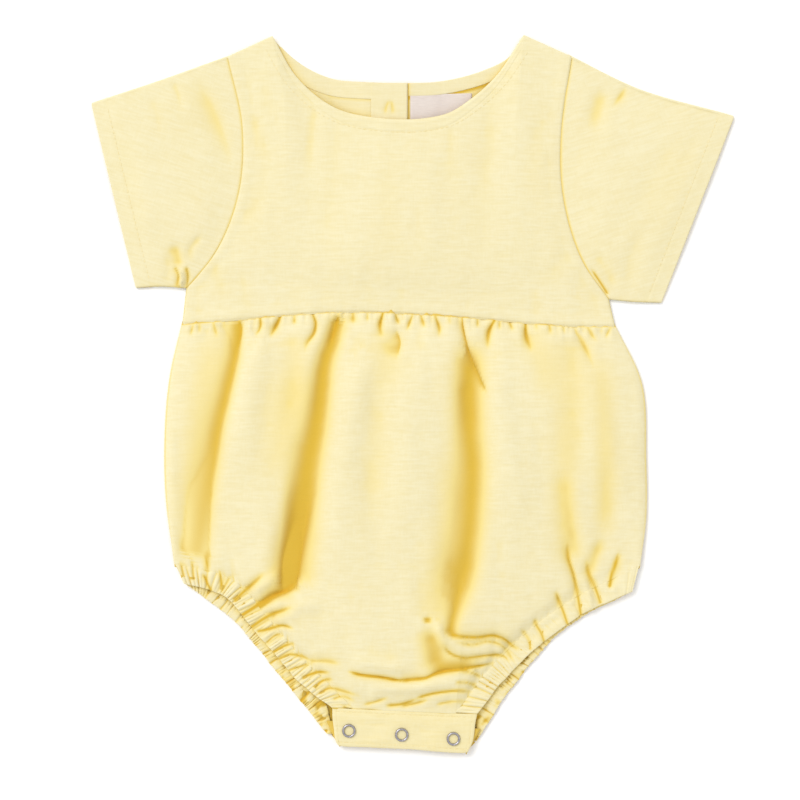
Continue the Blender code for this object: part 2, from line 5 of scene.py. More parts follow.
import bmesh
import bpy
import numpy as np
from mathutils import Matrix, Vector
from mathutils.bvhtree import BVHTree


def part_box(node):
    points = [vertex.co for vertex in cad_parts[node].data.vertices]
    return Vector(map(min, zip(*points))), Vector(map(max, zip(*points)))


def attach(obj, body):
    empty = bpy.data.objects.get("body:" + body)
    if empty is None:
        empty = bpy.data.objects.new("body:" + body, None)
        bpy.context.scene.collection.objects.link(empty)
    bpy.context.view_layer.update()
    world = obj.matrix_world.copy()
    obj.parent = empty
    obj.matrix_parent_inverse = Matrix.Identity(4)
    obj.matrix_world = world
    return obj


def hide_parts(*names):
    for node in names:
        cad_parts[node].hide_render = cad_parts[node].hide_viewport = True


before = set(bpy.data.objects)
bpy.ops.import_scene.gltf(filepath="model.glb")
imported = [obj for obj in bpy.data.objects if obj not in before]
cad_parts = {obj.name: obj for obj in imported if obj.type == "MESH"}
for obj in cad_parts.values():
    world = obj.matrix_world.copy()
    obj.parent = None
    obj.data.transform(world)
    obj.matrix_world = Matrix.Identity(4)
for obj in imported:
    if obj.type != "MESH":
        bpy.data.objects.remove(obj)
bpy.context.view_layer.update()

# ---------------------------------------------------------------- back skirt
# The back of the bubble, cut in linen like the rest, lies flat on the table under the gathered front.
# It is sewn to the back bodice at the waist, to the elastic casings at the legs and to the band below.

MM = 0.001
CENTRE_FRONT_X = -7.0  # the right sleeve reaches further out, so the romper's middle is left of its box's
PLY = 0.5  # one ply of linen
TABLE_Z = 0.3  # the middle of the ply that lies on the table


def smooth_step(value, low, high):
    """0 below low, 1 above high, with an even S between them."""
    share = np.clip((value - low) / (high - low), 0, 1)
    return share * share * (3 - 2 * share)


def fading(distance, reach, power=2):
    """1 where there is no distance, about a third at the reach, and nothing far beyond it."""
    return np.exp(-((distance / reach) ** power))


def through(rows):
    """A smooth line through the rows' points, as a function of the share of its length."""
    knots = np.array(rows, float)
    place = np.concatenate([[0], np.cumsum(np.linalg.norm(np.diff(knots, axis=0), axis=1))])
    steep = np.gradient(knots, place, axis=0)
    fine = np.unique(np.concatenate([np.linspace(0, place[-1], 400), place]))
    span = np.clip(np.searchsorted(place, fine, side="right") - 1, 0, len(place) - 2)
    width = (place[span + 1] - place[span])[:, None]
    t = (fine - place[span])[:, None] / width
    points = (
        knots[span] * (1 + 2 * t) * (1 - t) ** 2
        + steep[span] * width * t * (1 - t) ** 2
        + knots[span + 1] * t * t * (3 - 2 * t)
        + steep[span + 1] * width * t * t * (t - 1)
    )
    length = np.concatenate([[0], np.cumsum(np.linalg.norm(np.diff(points, axis=0), axis=1))])
    share = length / length[-1]

    def at(t):
        return np.stack([np.interp(t, share, points[:, axis]) for axis in range(points.shape[1])], axis=-1)

    return at


def level(height, *places):
    """A smooth line through (x, y) places, all at one height."""
    return through([(x, y, height) for x, y in places])


def point_of(line, share):
    """The one point of a line at a share of its length."""
    return line(np.array([float(share)]))[0]


def joined(*parts):
    """Lines end to end. Each part is (the share of the whole at which it ends, the line)."""

    def at(t):
        t = np.asarray(t, float)
        start, found = 0.0, np.zeros(t.shape + (3,))
        for end, line in parts:
            here = (t >= start) if end == 1 else (t >= start) & (t < end)
            found[here] = line((t[here] - start) / (end - start))
            start = end
        return found

    return at


def stretch(line, first, last):
    """The part of a line between two shares of it."""
    return lambda t: line(first + (last - first) * np.asarray(t, float))


def on_table(line):
    """The same line at the height of the ply that lies on the table."""
    return lambda t: line(t) * [1, 1, 0] + [0, 0, TABLE_Z]


def side_of(line, t):
    """Unit vectors across a line in the plane of the table, to the left of its direction."""
    step = 0.01
    ahead = line(np.clip(t + step, 0, 1)) - line(np.clip(t - step, 0, 1))
    across = np.stack([-ahead[..., 1], ahead[..., 0], 0 * ahead[..., 0]], axis=-1)
    return across / np.linalg.norm(across, axis=-1, keepdims=True)


def share_where(line, x):
    """The share of a line across the romper at which it reaches x."""
    shares = np.linspace(0, 1, 801)
    return float(np.interp(x, line(shares)[:, 0], shares))


def part_of(line, first_x=None, last_x=None):
    """The part of a line across the romper from one x to another, or from or to its end."""
    ends = (end if x is None else share_where(line, x) for x, end in ((first_x, 0), (last_x, 1)))
    return stretch(line, *ends)


def between(bottom, top, left, right):
    """The surface that four lines bound: across it from left to right, and up it from bottom to top.

    The left and right lines are drawn to meet the ends of the other two.
    """
    ends = np.array([0.0, 1.0])
    corners = np.array([bottom(ends), top(ends)])

    def side(line, column, v):
        missing = corners[:, column] - line(ends)
        return line(v[:, 0]) + (1 - v) * missing[0] + v * missing[1]

    def at(across, up):
        u, v = across[:, None], up[:, None]
        return (
            (1 - v) * bottom(across)
            + v * top(across)
            + (1 - u) * side(left, 0, v)
            + u * side(right, 1, v)
            - (1 - v) * ((1 - u) * corners[0][0] + u * corners[0][1])
            - v * ((1 - u) * corners[1][0] + u * corners[1][1])
        )

    return at


CREASE_SHADE_WIDTH = 0.9


class Fold:
    """A trough in the cloth, or a ridge where its depth is below 0, along a route of a few points.

    left and right are its half widths: to the viewer's left and right of a fold that runs down the cloth,
    and below and above one that runs across it from the left. `wide` stands for both. Each measure is one
    number, or one where the fold starts and one where it ends. It fades in over the share `start` of its
    length and out over the share `finish`. Its floor is creased where `sharp` is 1, round at 2 and flat
    at 4. `lean` draws its right or upper lip over it. `tint` is how far painted shade turns the
    cloth golden between its walls, for the light that reaches it only by way of those walls; left out, it
    grows with the depth. `crease_shade` is how dark a painted shadow line its floor holds.
    """

    def __init__(
        self, *route, depth, wide=None, left=None, right=None, start=0.0, finish=0.4, sharp=1.4, lean=0.0,
        tint=None, crease_shade=0.0,
    ):
        self.line = through(route)
        self.left, self.right = (np.broadcast_to(wide if side is None else side, 2) for side in (left, right))
        self.depth, self.sharp, self.lean = (np.broadcast_to(ends, 2) for ends in (depth, sharp, lean))
        self.tint = np.broadcast_to(np.clip(self.depth / 9, 0, 0.8) if tint is None else tint, 2)
        self.start, self.finish, self.crease_shade = start, finish, crease_shade

    def press(self, places):
        """Moves and tints those of the places, an array of points, that the fold reaches."""
        t = np.linspace(0, 1, 90)
        route = self.line(t)[:, :2]
        ahead = np.gradient(route, axis=0)
        ahead /= np.linalg.norm(ahead, axis=1, keepdims=True)
        reach = 2.8 * max(*self.left, *self.right) + max(self.lean)
        flat = places[:, :2]
        near = np.flatnonzero(np.all((flat > route.min(0) - reach) & (flat < route.max(0) + reach), axis=1))
        if not len(near):
            return
        away = places[near, None, :2] - route[None]
        nearest = np.einsum("ijk,ijk->ij", away, away).argmin(axis=1)
        away = away[np.arange(len(near)), nearest]
        forward, share = ahead[nearest], t[nearest]
        aside = away[:, 0] * forward[:, 1] - away[:, 1] * forward[:, 0]
        beyond = np.einsum("ij,ij->i", away, forward)
        on_left = aside > 0

        def grown(ends):
            return ends[0] + (ends[1] - ends[0]) * share

        distance, sharp = np.hypot(aside, beyond), grown(self.sharp)
        across = distance / np.where(on_left, grown(self.left), grown(self.right))
        fade = 1.0 if self.start == 0 else smooth_step(share, 0, self.start)
        fade = fade * (1 - smooth_step(share, 1 - self.finish, 1))
        places[near, 2] -= grown(self.depth) * fade * fading(across, 1, sharp)
        # Painted shade: golden between the fold's walls, and a darker painted shadow line along its floor.
        golden = grown(self.tint) * fade * fading(across, 1.1, sharp)
        tint = places[near, 3]
        places[near, 3] = 1 - (1 - np.clip(tint, 0, 1)) * (1 - golden) + np.clip(tint - 1, 0, 1)
        places[near, 3] += self.crease_shade * fade * fading(distance, CREASE_SHADE_WIDTH)
        lip = fade * fading(across - 1.1, 0.6) * np.where(on_left, 0, grown(self.lean))
        places[near, :2] += lip[:, None] * np.stack([forward[:, 1], -forward[:, 0]], axis=1)


def pressed(places, folds):
    """Presses folds into a grid of places."""
    flat = places.reshape(-1, 4)
    for fold in folds:
        fold.press(flat)
    return flat.reshape(places.shape)


def laid_out(surface, columns, rows):
    """A grid of places on surface(across, up), as rows of columns. Each is a number or a list of shares.

    Each place is x, y, z and its painted shade: 0 on plain cloth, 1 where it lies deep and is painted golden,
    2 where a creased floor is painted darkest.
    """
    across = np.linspace(0, 1, columns + 1) if isinstance(columns, int) else np.asarray(columns)
    up = np.linspace(0, 1, rows + 1) if isinstance(rows, int) else np.asarray(rows)
    u, v = np.meshgrid(across, up)
    places = surface(u.ravel(), v.ravel()).reshape(*u.shape, 3)
    return np.concatenate([places, np.zeros_like(places[..., :1])], axis=-1)


def with_painted_shade(places, amount):
    """Paints shade on places: their painted shade becomes at least an amount."""
    places[..., 3] = np.maximum(places[..., 3], amount)
    return places


def shaded(places, *shadows):
    """Tints the cloth close to lines, where the edge of the cloth over it keeps the light off.

    Each shadow is its line, its reach and how golden it is.
    """
    for line, reach, amount in shadows:
        route = line(np.linspace(0, 1, 160))[:, :2]
        away = np.linalg.norm(places[..., None, :2] - route, axis=-1).min(axis=-1)
        with_painted_shade(places, amount * fading(away, reach, 1.5))
    return places


def smoothed(values, times):
    """A grid of values, each averaged with its neighbours a number of times."""
    for _ in range(times):
        padded = np.pad(values, 1, mode="edge")
        values = (padded[:-2, 1:-1] + padded[2:, 1:-1] + padded[1:-1, :-2] + padded[1:-1, 2:] + values) / 5
    return values


def hollows(places):
    """How far, from 0 to 1, each place lies below the cloth around it, which alone lights it: the painted
    shade of its hollows.
    """
    height = places[..., 2]
    near = np.clip((smoothed(height, 6) - height - 0.03) / 1.0, 0, 0.6)
    far = np.clip((smoothed(height, 60) - height - 0.1) / 3.0, 0, 0.5)
    return 1 - (1 - near) * (1 - far)


def new_piece(name, bm, finish, ending=""):
    """A piece of the scene from a mesh that is being built, smooth and in its finish."""
    mesh = bpy.data.meshes.new(name)
    bm.to_mesh(mesh)
    bm.free()
    mesh.shade_smooth()
    mesh.materials.append(finish)
    piece = bpy.data.objects.new(name + ending, mesh)
    bpy.context.scene.collection.objects.link(piece)
    return piece


def cut_cloth(name, places, finish, ply=PLY):
    """A shell of cloth over a grid of places."""
    rows, columns = places.shape[0] - 1, places.shape[1] - 1
    bm = bmesh.new()
    bmesh.ops.create_grid(bm, x_segments=columns, y_segments=rows, size=0.5)
    piece = new_piece(name, bm, finish, "_cloth")
    mesh = piece.data
    flat = np.zeros(len(mesh.vertices) * 3, np.float32)
    mesh.vertices.foreach_get("co", flat)
    column = np.rint((flat[0::3] + 0.5) * columns).astype(int)
    row = np.rint((flat[1::3] + 0.5) * rows).astype(int)
    here = places[row, column, :3] * MM + [CENTRE_FRONT_X * MM, 0, 0]
    mesh.vertices.foreach_set("co", here.astype(np.float32).ravel())
    # Painted shade: folds, creases, hollows and tucked-under edges are painted golden through this attribute.
    tint = np.clip(places[..., 3], 0, 2)
    tint = np.where(tint > 1, tint, 1 - (1 - tint) * (1 - hollows(places)))
    layer = mesh.attributes.new("tint", "FLOAT", "POINT")
    layer.data.foreach_set("value", tint[row, column].astype(np.float32))
    mesh.update()
    shell = piece.modifiers.new("ply", "SOLIDIFY")
    shell.thickness, shell.offset = ply * MM, 0
    return piece


class Wire:
    """The output of a material's node. Sums that are written with it add the material's Math nodes."""

    def __init__(self, tree, output=None):
        self.tree, self.output = tree, output

    def node(self, kind, settings=(), values=(), output=0):
        """Adds a node: its settings come first, then the values or wires of its sockets."""
        made = self.tree.nodes.new("ShaderNode" + kind)
        for setting, value in dict(settings).items():
            if setting == "stops":
                while len(made.color_ramp.elements) < len(value):
                    made.color_ramp.elements.new(0.5)
                for stop, (place, colour) in zip(made.color_ramp.elements, value):
                    stop.position, stop.color = place, colour
            else:
                setattr(made, setting, value)
        for name, value in dict(values).items():
            if isinstance(value, Wire):
                self.tree.links.new(value.output, made.inputs[name])
            else:
                made.inputs[name].default_value = value
        return Wire(self.tree, made.outputs[output])

    def maths(self, operation, first, second=0.0, third=0.0):
        return self.node("Math", {"operation": operation}, {0: first, 1: second, 2: third})

    def __add__(self, other):
        return self.maths("ADD", self, other)

    __radd__ = __add__

    def __mul__(self, other):
        return self.maths("MULTIPLY", self, other)

    __rmul__ = __mul__

    def __sub__(self, other):
        return self.maths("SUBTRACT", self, other)

    def __rsub__(self, other):
        return self.maths("SUBTRACT", other, self)

    def __pow__(self, other):
        return self.maths("POWER", self, other)

    def between(self, low, high):
        """0 below low and 1 above high."""
        return self.node("MapRange", {}, {"Value": self, "From Min": low, "From Max": high})

    def mix(self, first, second):
        """The first colour where this is 0, and the second where it is 1."""
        first, second = (colour if isinstance(colour, Wire) else (*colour, 1) for colour in (first, second))
        values = {"Factor": self, 6: first, 7: second}
        return self.node("Mix", {"data_type": "RGBA"}, values, output=2)

    def noise(self, scale, **values):
        """Clouds from 0 to 1 over a place, with a number of swells to the metre."""
        return self.node("TexNoise", {}, {"Vector": self, "Scale": scale, **values}, output="Fac")

    def bump(self, strength, distance):
        """The normal of a surface that this height, from 0 to 1, raises by a distance."""
        return self.node("Bump", {}, {"Height": self, "Strength": strength, "Distance": distance})


def start_finish(name, roughness, metallic=0.0, **constants):
    """A new material. Gives it, the wire to build from and its shader, whose constants are set here."""
    material = bpy.data.materials.new(name)
    material.use_nodes = True
    shader = material.node_tree.nodes["Principled BSDF"]
    shader.inputs["Roughness"].default_value = roughness
    shader.inputs["Metallic"].default_value = metallic
    for socket, value in constants.items():
        shader.inputs[socket.replace("_", " ")].default_value = value
    return material, Wire(material.node_tree), shader


def feed(wire, shader, **sockets):
    """Links wires to the shader's sockets."""
    for socket, value in sockets.items():
        wire.tree.links.new(value.output, shader.inputs[socket.replace("_", " ")])


LIGHT, DEEP = (0.800, 0.730, 0.475), (0.765, 0.672, 0.385)
# Painted shade colours: pale, golden and darkest, for light that reaches the cloth only by way of the cloth
# beside it.
PAINTED_SHADE_PALE, PAINTED_SHADE_GOLD, PAINTED_SHADE_DARKEST = (0.790, 0.645, 0.245), (0.640, 0.420, 0.045), (0.680, 0.345, 0.012)


def linen(name, grain_turn=0.0, light=LIGHT, deep=DEEP):
    """Slubby plain-weave linen: threads that swell and thin, a soft nap and faint creases from wear.

    light and deep are the colours of a proud and of a sunken thread, and grain_turn the angle of the weft
    on the table. Painted shade turns the cloth golden, and deepest orange in its creases, as the mesh's
    tint attribute asks: it stands for the light that only reaches the cloth by way of the cloth beside it.
    """
    nap = {"Sheen_Weight": 0.12, "Sheen_Roughness": 0.5, "Specular_IOR_Level": 0.2}
    material, wire, shader = start_finish(name, 0.88, **nap)
    place = wire.node("TexCoord", output="Object")
    turned = wire.node("Mapping", {}, {"Vector": place, "Rotation": (0, 0, grain_turn)})

    def threads(along_x, along_y, seed):
        drawn = {"Vector": turned, "Scale": (along_x, along_y, 300), "Location": (seed, seed, 0)}
        return wire.node("Mapping", {}, drawn).noise(1.0, Detail=2.0, Roughness=0.6)

    weft, warp, slub = threads(110, 850, 3.0), threads(1200, 160, 7.0), threads(40, 520, 11.0)
    proud = (weft * 0.5 + warp * 0.25 + slub * 0.25).between(0.40, 0.60)
    worn = (place.noise(26.0, Detail=3.0) * 0.6 + place.noise(300.0, Detail=2.0) * 0.4).between(0.36, 0.64)
    colour = (proud * 0.7 + worn * 0.3).mix(deep, light)
    # Painted shade: the attribute mixes in the pale, golden and darkest painted shade colours.
    tint = wire.node("Attribute", {"attribute_name": "tint"}, output="Fac")
    for low, high, shade_colour in ((0, 0.5, PAINTED_SHADE_PALE), (0.5, 1, PAINTED_SHADE_GOLD), (1, 2, PAINTED_SHADE_DARKEST)):
        colour = tint.between(low, high).mix(colour, shade_colour)
    height = weft * 0.5 + warp * 0.35 + slub * 0.4 + place.noise(60.0, Detail=4.0) * 1.6
    feed(wire, shader, Base_Color=colour, Normal=height.bump(0.34, 0.0006), Roughness=0.95 - proud * 0.14)
    return material


YELLOW = linen("yellow_linen")


def sew(name, places, finish, ply=PLY, rests_on=("table",)):
    """Cuts a piece of cloth and hands it to the frame, in the place of the CAD node of its name.
    """
    piece = cut_cloth(name, places, finish, ply)
    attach(piece, "root")
    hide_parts(name)
    under = [other if other == "table" else other + "_cloth" for other in rests_on]
    return piece


WAIST_LEFT, WAIST_RIGHT = (-130.8, 41.7, 1.6), (128.2, 40.5, 1.6)
WAIST = through([
    WAIST_LEFT, (-99.0, 44.3, 3.4), (-36.6, 48.9, 4.9),
    (38.4, 45.7, 4.9), (103.5, 40.5, 3.4), WAIST_RIGHT,
])
SIDE_END_LEFT, SIDE_END_RIGHT = (-135.0, -101.7, 3.0), (142.6, -102.7, 3.0)
SKIRT_SIDE_LEFT = through([
    SIDE_END_LEFT, (-140.4, -60.3, 1.7), (-141.0, -28.0, 1.7), (-137.6, 12.0, 1.7), WAIST_LEFT,
])
SKIRT_SIDE_RIGHT = through([
    SIDE_END_RIGHT, (146.4, -74.7, 1.7), (146.4, -38.7, 1.7), (143.4, 8.0, 1.7), WAIST_RIGHT,
])
BACK_CASING_Z = 1.1
BACK_LEG_LEFT = level(
    BACK_CASING_Z, (-129.6, -113.0), (-100.8, -134.5), (-76.9, -162.3), (-43.8, -203.5)
)
BACK_LEG_RIGHT = level(BACK_CASING_Z, (44.8, -207.8), (67.1, -174.3), (98.9, -139.4), (138.6, -117.5))
BAND_Z = 4.7
BAND_BOTTOM = level(BAND_Z, (-39.0, -209.6), (0, -211.9), (41.8, -214.1))
BAND_TOP = level(BAND_Z, (-40.6, -187.7), (0, -189.6), (44.6, -191.4))
BAND_ENDS = [through([point_of(BAND_BOTTOM, end), point_of(BAND_TOP, end)]) for end in (0, 1)]
FRONT_CASING_Z = 3.6
FRONT_LEG_LEFT = level(
    FRONT_CASING_Z, (-129.6, -113.0), (-109.3, -118.5), (-82.9, -146.4), (-58.0, -174.3), (-41.2, -187.0)
)
FRONT_LEG_RIGHT = level(
    FRONT_CASING_Z, (45.4, -190.8), (59.1, -173.3), (86.0, -147.4), (112.0, -129.4), (138.6, -117.5)
)
CASING_WIDTH = 10.5
LEG_SHARE = 0.35  # the share of the skirt's lower edge that one leg takes
BACK_END_WIDTH = 4.4
BAND_SEAM_ABOVE_EDGE = 5.3


def casing_inner(leg, start_reach, end_reach):
    """A casing's inner edge. At its two ends it reaches along the side seam and along the crotch band."""

    def at(t):
        t = np.asarray(t, float)
        near_start = (1 - smooth_step(t, 0, 0.16))[..., None]
        near_end = smooth_step(t, 0.86, 1)[..., None]
        reach = CASING_WIDTH * side_of(leg, t) * (1 - near_start - near_end)
        return leg(t) + reach + near_start * np.array(start_reach) + near_end * np.array(end_reach)

    return at


def reach_to(leg, end, side_end):
    """From an end of a leg line to the end of the side seam above it."""
    corner = point_of(leg, end)
    return (side_end[0] - corner[0], side_end[1] - corner[1], 0)


def skirt_lower(left_inner, right_inner, above_band):
    """A skirt panel's lower edge: along one casing, the crotch band and the other casing."""
    band = part_of(above_band, point_of(left_inner, 1)[0], point_of(right_inner, 0)[0])
    return joined((LEG_SHARE, left_inner), (1 - LEG_SHARE, band), (1, right_inner))


def above_back_band(t):
    """The line along which the back skirt is sewn to its crotch band."""
    return BAND_BOTTOM(t) * [1.07, 1, 0] + [0, BAND_SEAM_ABOVE_EDGE, TABLE_Z]


BACK_INNER_LEFT = casing_inner(
    BACK_LEG_LEFT, reach_to(BACK_LEG_LEFT, 0, SIDE_END_LEFT), (BACK_END_WIDTH, -0.25, 0)
)
BACK_INNER_RIGHT = casing_inner(
    BACK_LEG_RIGHT, (-BACK_END_WIDTH, 0.25, 0), reach_to(BACK_LEG_RIGHT, 1, SIDE_END_RIGHT)
)
BACK_SKIRT_FOLDS = (
    Fold((-96, 43), (-100, 10), (-104, -40), left=(2, 9), right=(2, 8), depth=-1.6),
    Fold((-58, 46), (-62, 12), (-60, -60), wide=(2, 10), depth=-2.2),
    Fold((-24, 47), (-22, 8), (-27, -34), left=(2, 8), right=(2, 9), depth=-1.5),
    Fold((16, 46), (19, -2), (14, -70), left=(2, 11), right=(2, 9), depth=-2.1),
    Fold((59, 44), (63, 18), (61, -16), wide=(2, 8), depth=-1.4),
    Fold((97, 42), (104, 4), (107, -52), left=(2, 9), right=(2, 8), depth=-1.9),
    Fold((-40, -186), (-8, -181), (36, -190), wide=(2, 4), depth=-1.6, start=0.3),
)


def make_back_skirt():
    lower = skirt_lower(BACK_INNER_LEFT, BACK_INNER_RIGHT, above_back_band)
    panel = between(on_table(lower), on_table(WAIST), on_table(SKIRT_SIDE_LEFT), on_table(SKIRT_SIDE_RIGHT))
    places = pressed(laid_out(panel, 160, 120), BACK_SKIRT_FOLDS)
    edges_over = ((FRONT_LEG_LEFT, 5), (FRONT_LEG_RIGHT, 5), (BAND_ENDS[0], 7), (BAND_ENDS[1], 7))
    places = shaded(places, *((line, reach, 1.1) for line, reach in edges_over))
    sew("back_skirt", places, YELLOW)


make_back_skirt()

# ---------------------------------------------------------------- back bodice
# Two halves of linen lap at the centre back and button there, the left one inside the right one.
# The inner lap's edge is turned in as a band, and a bias facing is stitched down round the back neck.

NECK_POINT_LEFT, NECK_POINT_RIGHT = (-76.8, 213.3, 3.2), (73.6, 213.9, 3.2)
SHOULDER_LEFT, SHOULDER_RIGHT = (-103.5, 201.1, 2.7), (102.2, 201.1, 2.7)
UNDERARM_LEFT, UNDERARM_RIGHT = (-128.4, 63.3, 1.8), (124.5, 56.7, 1.8)
BACK_NECK = through([
    NECK_POINT_LEFT, (-68.0, 203.6, 1.6), (-54.5, 193.9, 0.5), (-39.5, 188.1, 0.5),
    (-24.5, 186.4, 0.5), (4.0, 185.7, 0.5), (20.5, 186.5, 0.5), (35.5, 189.2, 0.5),
    (50.5, 193.8, 0.5), (64.5, 201.0, 0.8), (70.5, 207.5, 1.8), NECK_POINT_RIGHT,
])
FRONT_NECK = through([
    NECK_POINT_LEFT, (-62.0, 188.6, 2.2), (-39.5, 170.4, 4.5), (-9.5, 163.6, 6.2),
    (14.0, 163.8, 6.0), (28.0, 166.8, 5.2), (43.0, 176.4, 3.8), (56.0, 188.4, 2.4),
    NECK_POINT_RIGHT,
])
ARMHOLE_LEFT = through([
    UNDERARM_LEFT, (-112.0, 82.7, 3.4), (-96.3, 123.0, 4.2), (-94.8, 160.0, 3.8), SHOULDER_LEFT,
])
ARMHOLE_RIGHT = through([
    UNDERARM_RIGHT, (110.0, 77.5, 3.4), (97.2, 118.0, 4.2), (95.9, 155.0, 3.8), SHOULDER_RIGHT,
])
SHOULDER_SEAM_LEFT = through([SHOULDER_LEFT, NECK_POINT_LEFT])
SHOULDER_SEAM_RIGHT = through([NECK_POINT_RIGHT, SHOULDER_RIGHT])
BODICE_SIDE_LEFT = through([WAIST_LEFT, UNDERARM_LEFT])
BODICE_SIDE_RIGHT = through([WAIST_RIGHT, UNDERARM_RIGHT])
UNDERARM_SHARE = 0.125  # share of the bodice's side edge where the armhole begins
HALF_SHOULDER = 0.25  # share of a back half's top edge that is its shoulder
INNER_LAP_EDGE, OUTER_LAP_EDGE = 3.6, -20.0
BUTTON_ROOM = 2.1
FACING_ABOVE, FACING_PLY = 0.5, 0.4
LAP_STEP = 0.95
BAND_LEFT = -17.5
FACING_WIDTH_LEFT, FACING_WIDTH_RIGHT = 9.3, 7.0

BUTTON_BAND_PUCKERS = (
    Fold(
        (-6.6, 176.5), (-8.6, 172), (-9.6, 166), left=(0.8, 1.4), right=(0.8, 1.2), depth=0.5, start=0.3,
        tint=0.5,
    ),
    Fold(
        (-6.4, 176.5), (-5.2, 172), (-4.8, 166), left=(0.8, 1.2), right=(0.8, 1.6), depth=0.6, start=0.3,
        tint=0.5,
    ),
)
LAP_LINE = level(0, (INNER_LAP_EDGE, 150), (INNER_LAP_EDGE, 190))

INSIDE = linen("inside_linen", light=(0.795, 0.715, 0.455))


def slope(value, low, high):
    """0 below low, 1 above high, and straight between them."""
    return np.clip((value - low) / (high - low), 0, 1)


def beside(line, distance):
    """A line moved to its left by a distance, or to its right by a negative one."""
    return lambda t: line(t) + distance * side_of(line, np.asarray(t, float))


def drift(x, y, size_x, size_y, seed):
    """Smooth unevenness between -1 and 1, with swells about size_x by size_y."""
    swells = np.random.default_rng(seed).uniform(-1, 1, (64, 64))
    u, v = x / size_x + 32, y / size_y + 32
    i, j = np.floor(u).astype(int), np.floor(v).astype(int)
    s, t = smooth_step(u - i, 0, 1), smooth_step(v - j, 0, 1)
    lower = (1 - s) * swells[i % 64, j % 64] + s * swells[(i + 1) % 64, j % 64]
    upper = (1 - s) * swells[i % 64, (j + 1) % 64] + s * swells[(i + 1) % 64, (j + 1) % 64]
    return (1 - t) * lower + t * upper


def facing(places, edge):
    """The grid seen so that one of its edges is its last row."""
    seen = places.swapaxes(0, 1) if edge in ("left", "right") else places
    return seen[::-1] if edge in ("bottom", "left") else seen


def faced_back(seen, edge):
    """The grid as it was before facing(places, edge)."""
    seen = seen[::-1] if edge in ("bottom", "left") else seen
    return seen.swapaxes(0, 1) if edge in ("left", "right") else seen


def from_edge(places, edge):
    """How far each place of a grid is from one of its edges, along the cloth."""
    seen = facing(places, edge)
    steps = np.linalg.norm(np.diff(seen[..., :3], axis=0), axis=2)[::-1]
    distance = np.concatenate([np.zeros((1, seen.shape[1])), np.cumsum(steps, axis=0)])[::-1]
    return faced_back(distance[..., None], edge)[..., 0]


def out_of(seen):
    """Unit vectors on the table that lead out past the last row of a grid."""
    out = seen[-1] - seen[-2]
    out[:, 2:] = 0
    return out / np.linalg.norm(out, axis=1, keepdims=True)


def turned_under(places, edge, radius=0.5, inside=2.5):
    """Adds rows past an edge of a grid, which turn the cloth under to its wrong side."""
    seen = facing(places, edge)
    last, out = seen[-1], out_of(seen)
    down = np.array([0, 0, -1.0, 0])
    bends = np.radians([30, 60, 90, 120, 150, 180])
    rows = [last + radius * (math.sin(bend) * out + (1 - math.cos(bend)) * down) for bend in bends]
    rows.append(rows[-1] - inside * out)
    # Painted shade on the cloth that turns under, out of the light.
    for row in rows[2:]:
        with_painted_shade(row, 0.9)
    return faced_back(np.concatenate([seen, rows]), edge)


def lap_rise(y):
    """How much the buttons under the lap raise it: not at all at the waist, where there are none."""
    return BUTTON_ROOM * smooth_step(y, 48, 78)


def left_half_height(x, y):
    """The left half lies on the table at its side, and over the right half and its buttons at the lap."""
    return TABLE_Z + slope(x, -42, -21.5) * (LAP_STEP + lap_rise(y))


def right_half_height(x, y):
    """The right half lies on the table, and over the buttons at the lap."""
    return TABLE_Z + (1 - slope(x, 6, 24)) * lap_rise(y)


def lies_at(surface, height, above=0.0):
    """A surface laid on a half of the back: its heights come from that half's."""

    def at(across, up):
        places = surface(across, up)
        places[:, 2] = height(places[:, 0], places[:, 1]) + above
        return places

    return at


def strip_between(lower, upper):
    """The surface from one line straight to another."""

    def at(across, up):
        v = up[:, None]
        return (1 - v) * lower(across) + v * upper(across)

    return at


def make_back_halves():
    left_side = joined((UNDERARM_SHARE, BODICE_SIDE_LEFT), (1, ARMHOLE_LEFT))
    right_side = joined((UNDERARM_SHARE, BODICE_SIDE_RIGHT), (1, ARMHOLE_RIGHT))

    bottom = part_of(WAIST, last_x=INNER_LAP_EDGE)
    top = joined((HALF_SHOULDER, SHOULDER_SEAM_LEFT), (1, part_of(BACK_NECK, last_x=INNER_LAP_EDGE)))
    edge = through([point_of(bottom, 1), point_of(top, 1)])
    places = laid_out(lies_at(between(bottom, top, left_side, edge), left_half_height), 90, 70)
    facing_edge = beside(part_of(BACK_NECK, last_x=BAND_LEFT), -FACING_WIDTH_LEFT - 0.3)
    places = shaded(places, (facing_edge, 0.9, 0.5), (FRONT_NECK, 4, 0.4), (FRONT_NECK, 1.2, 0.9))
    places = turned_under(places, "right", 0.35)
    rests_on = ["table", "back_bodice_right"]
    sew("back_bodice_left", places, INSIDE, rests_on=rests_on)

    bottom = part_of(WAIST, OUTER_LAP_EDGE)
    top = joined((1 - HALF_SHOULDER, part_of(BACK_NECK, OUTER_LAP_EDGE)), (1, SHOULDER_SEAM_RIGHT))
    edge = through([point_of(bottom, 0), point_of(top, 0)])
    places = laid_out(lies_at(between(bottom, top, edge, right_side), right_half_height), 90, 70)
    facing_edge = beside(part_of(BACK_NECK, INNER_LAP_EDGE), -FACING_WIDTH_RIGHT - 0.5)
    places = shaded(
        places, (facing_edge, 1.8, 1.3), (FRONT_NECK, 5, 0.6), (FRONT_NECK, 1.5, 1.0), (LAP_LINE, 1.6, 1.4)
    )
    sew("back_bodice_right", places, INSIDE)


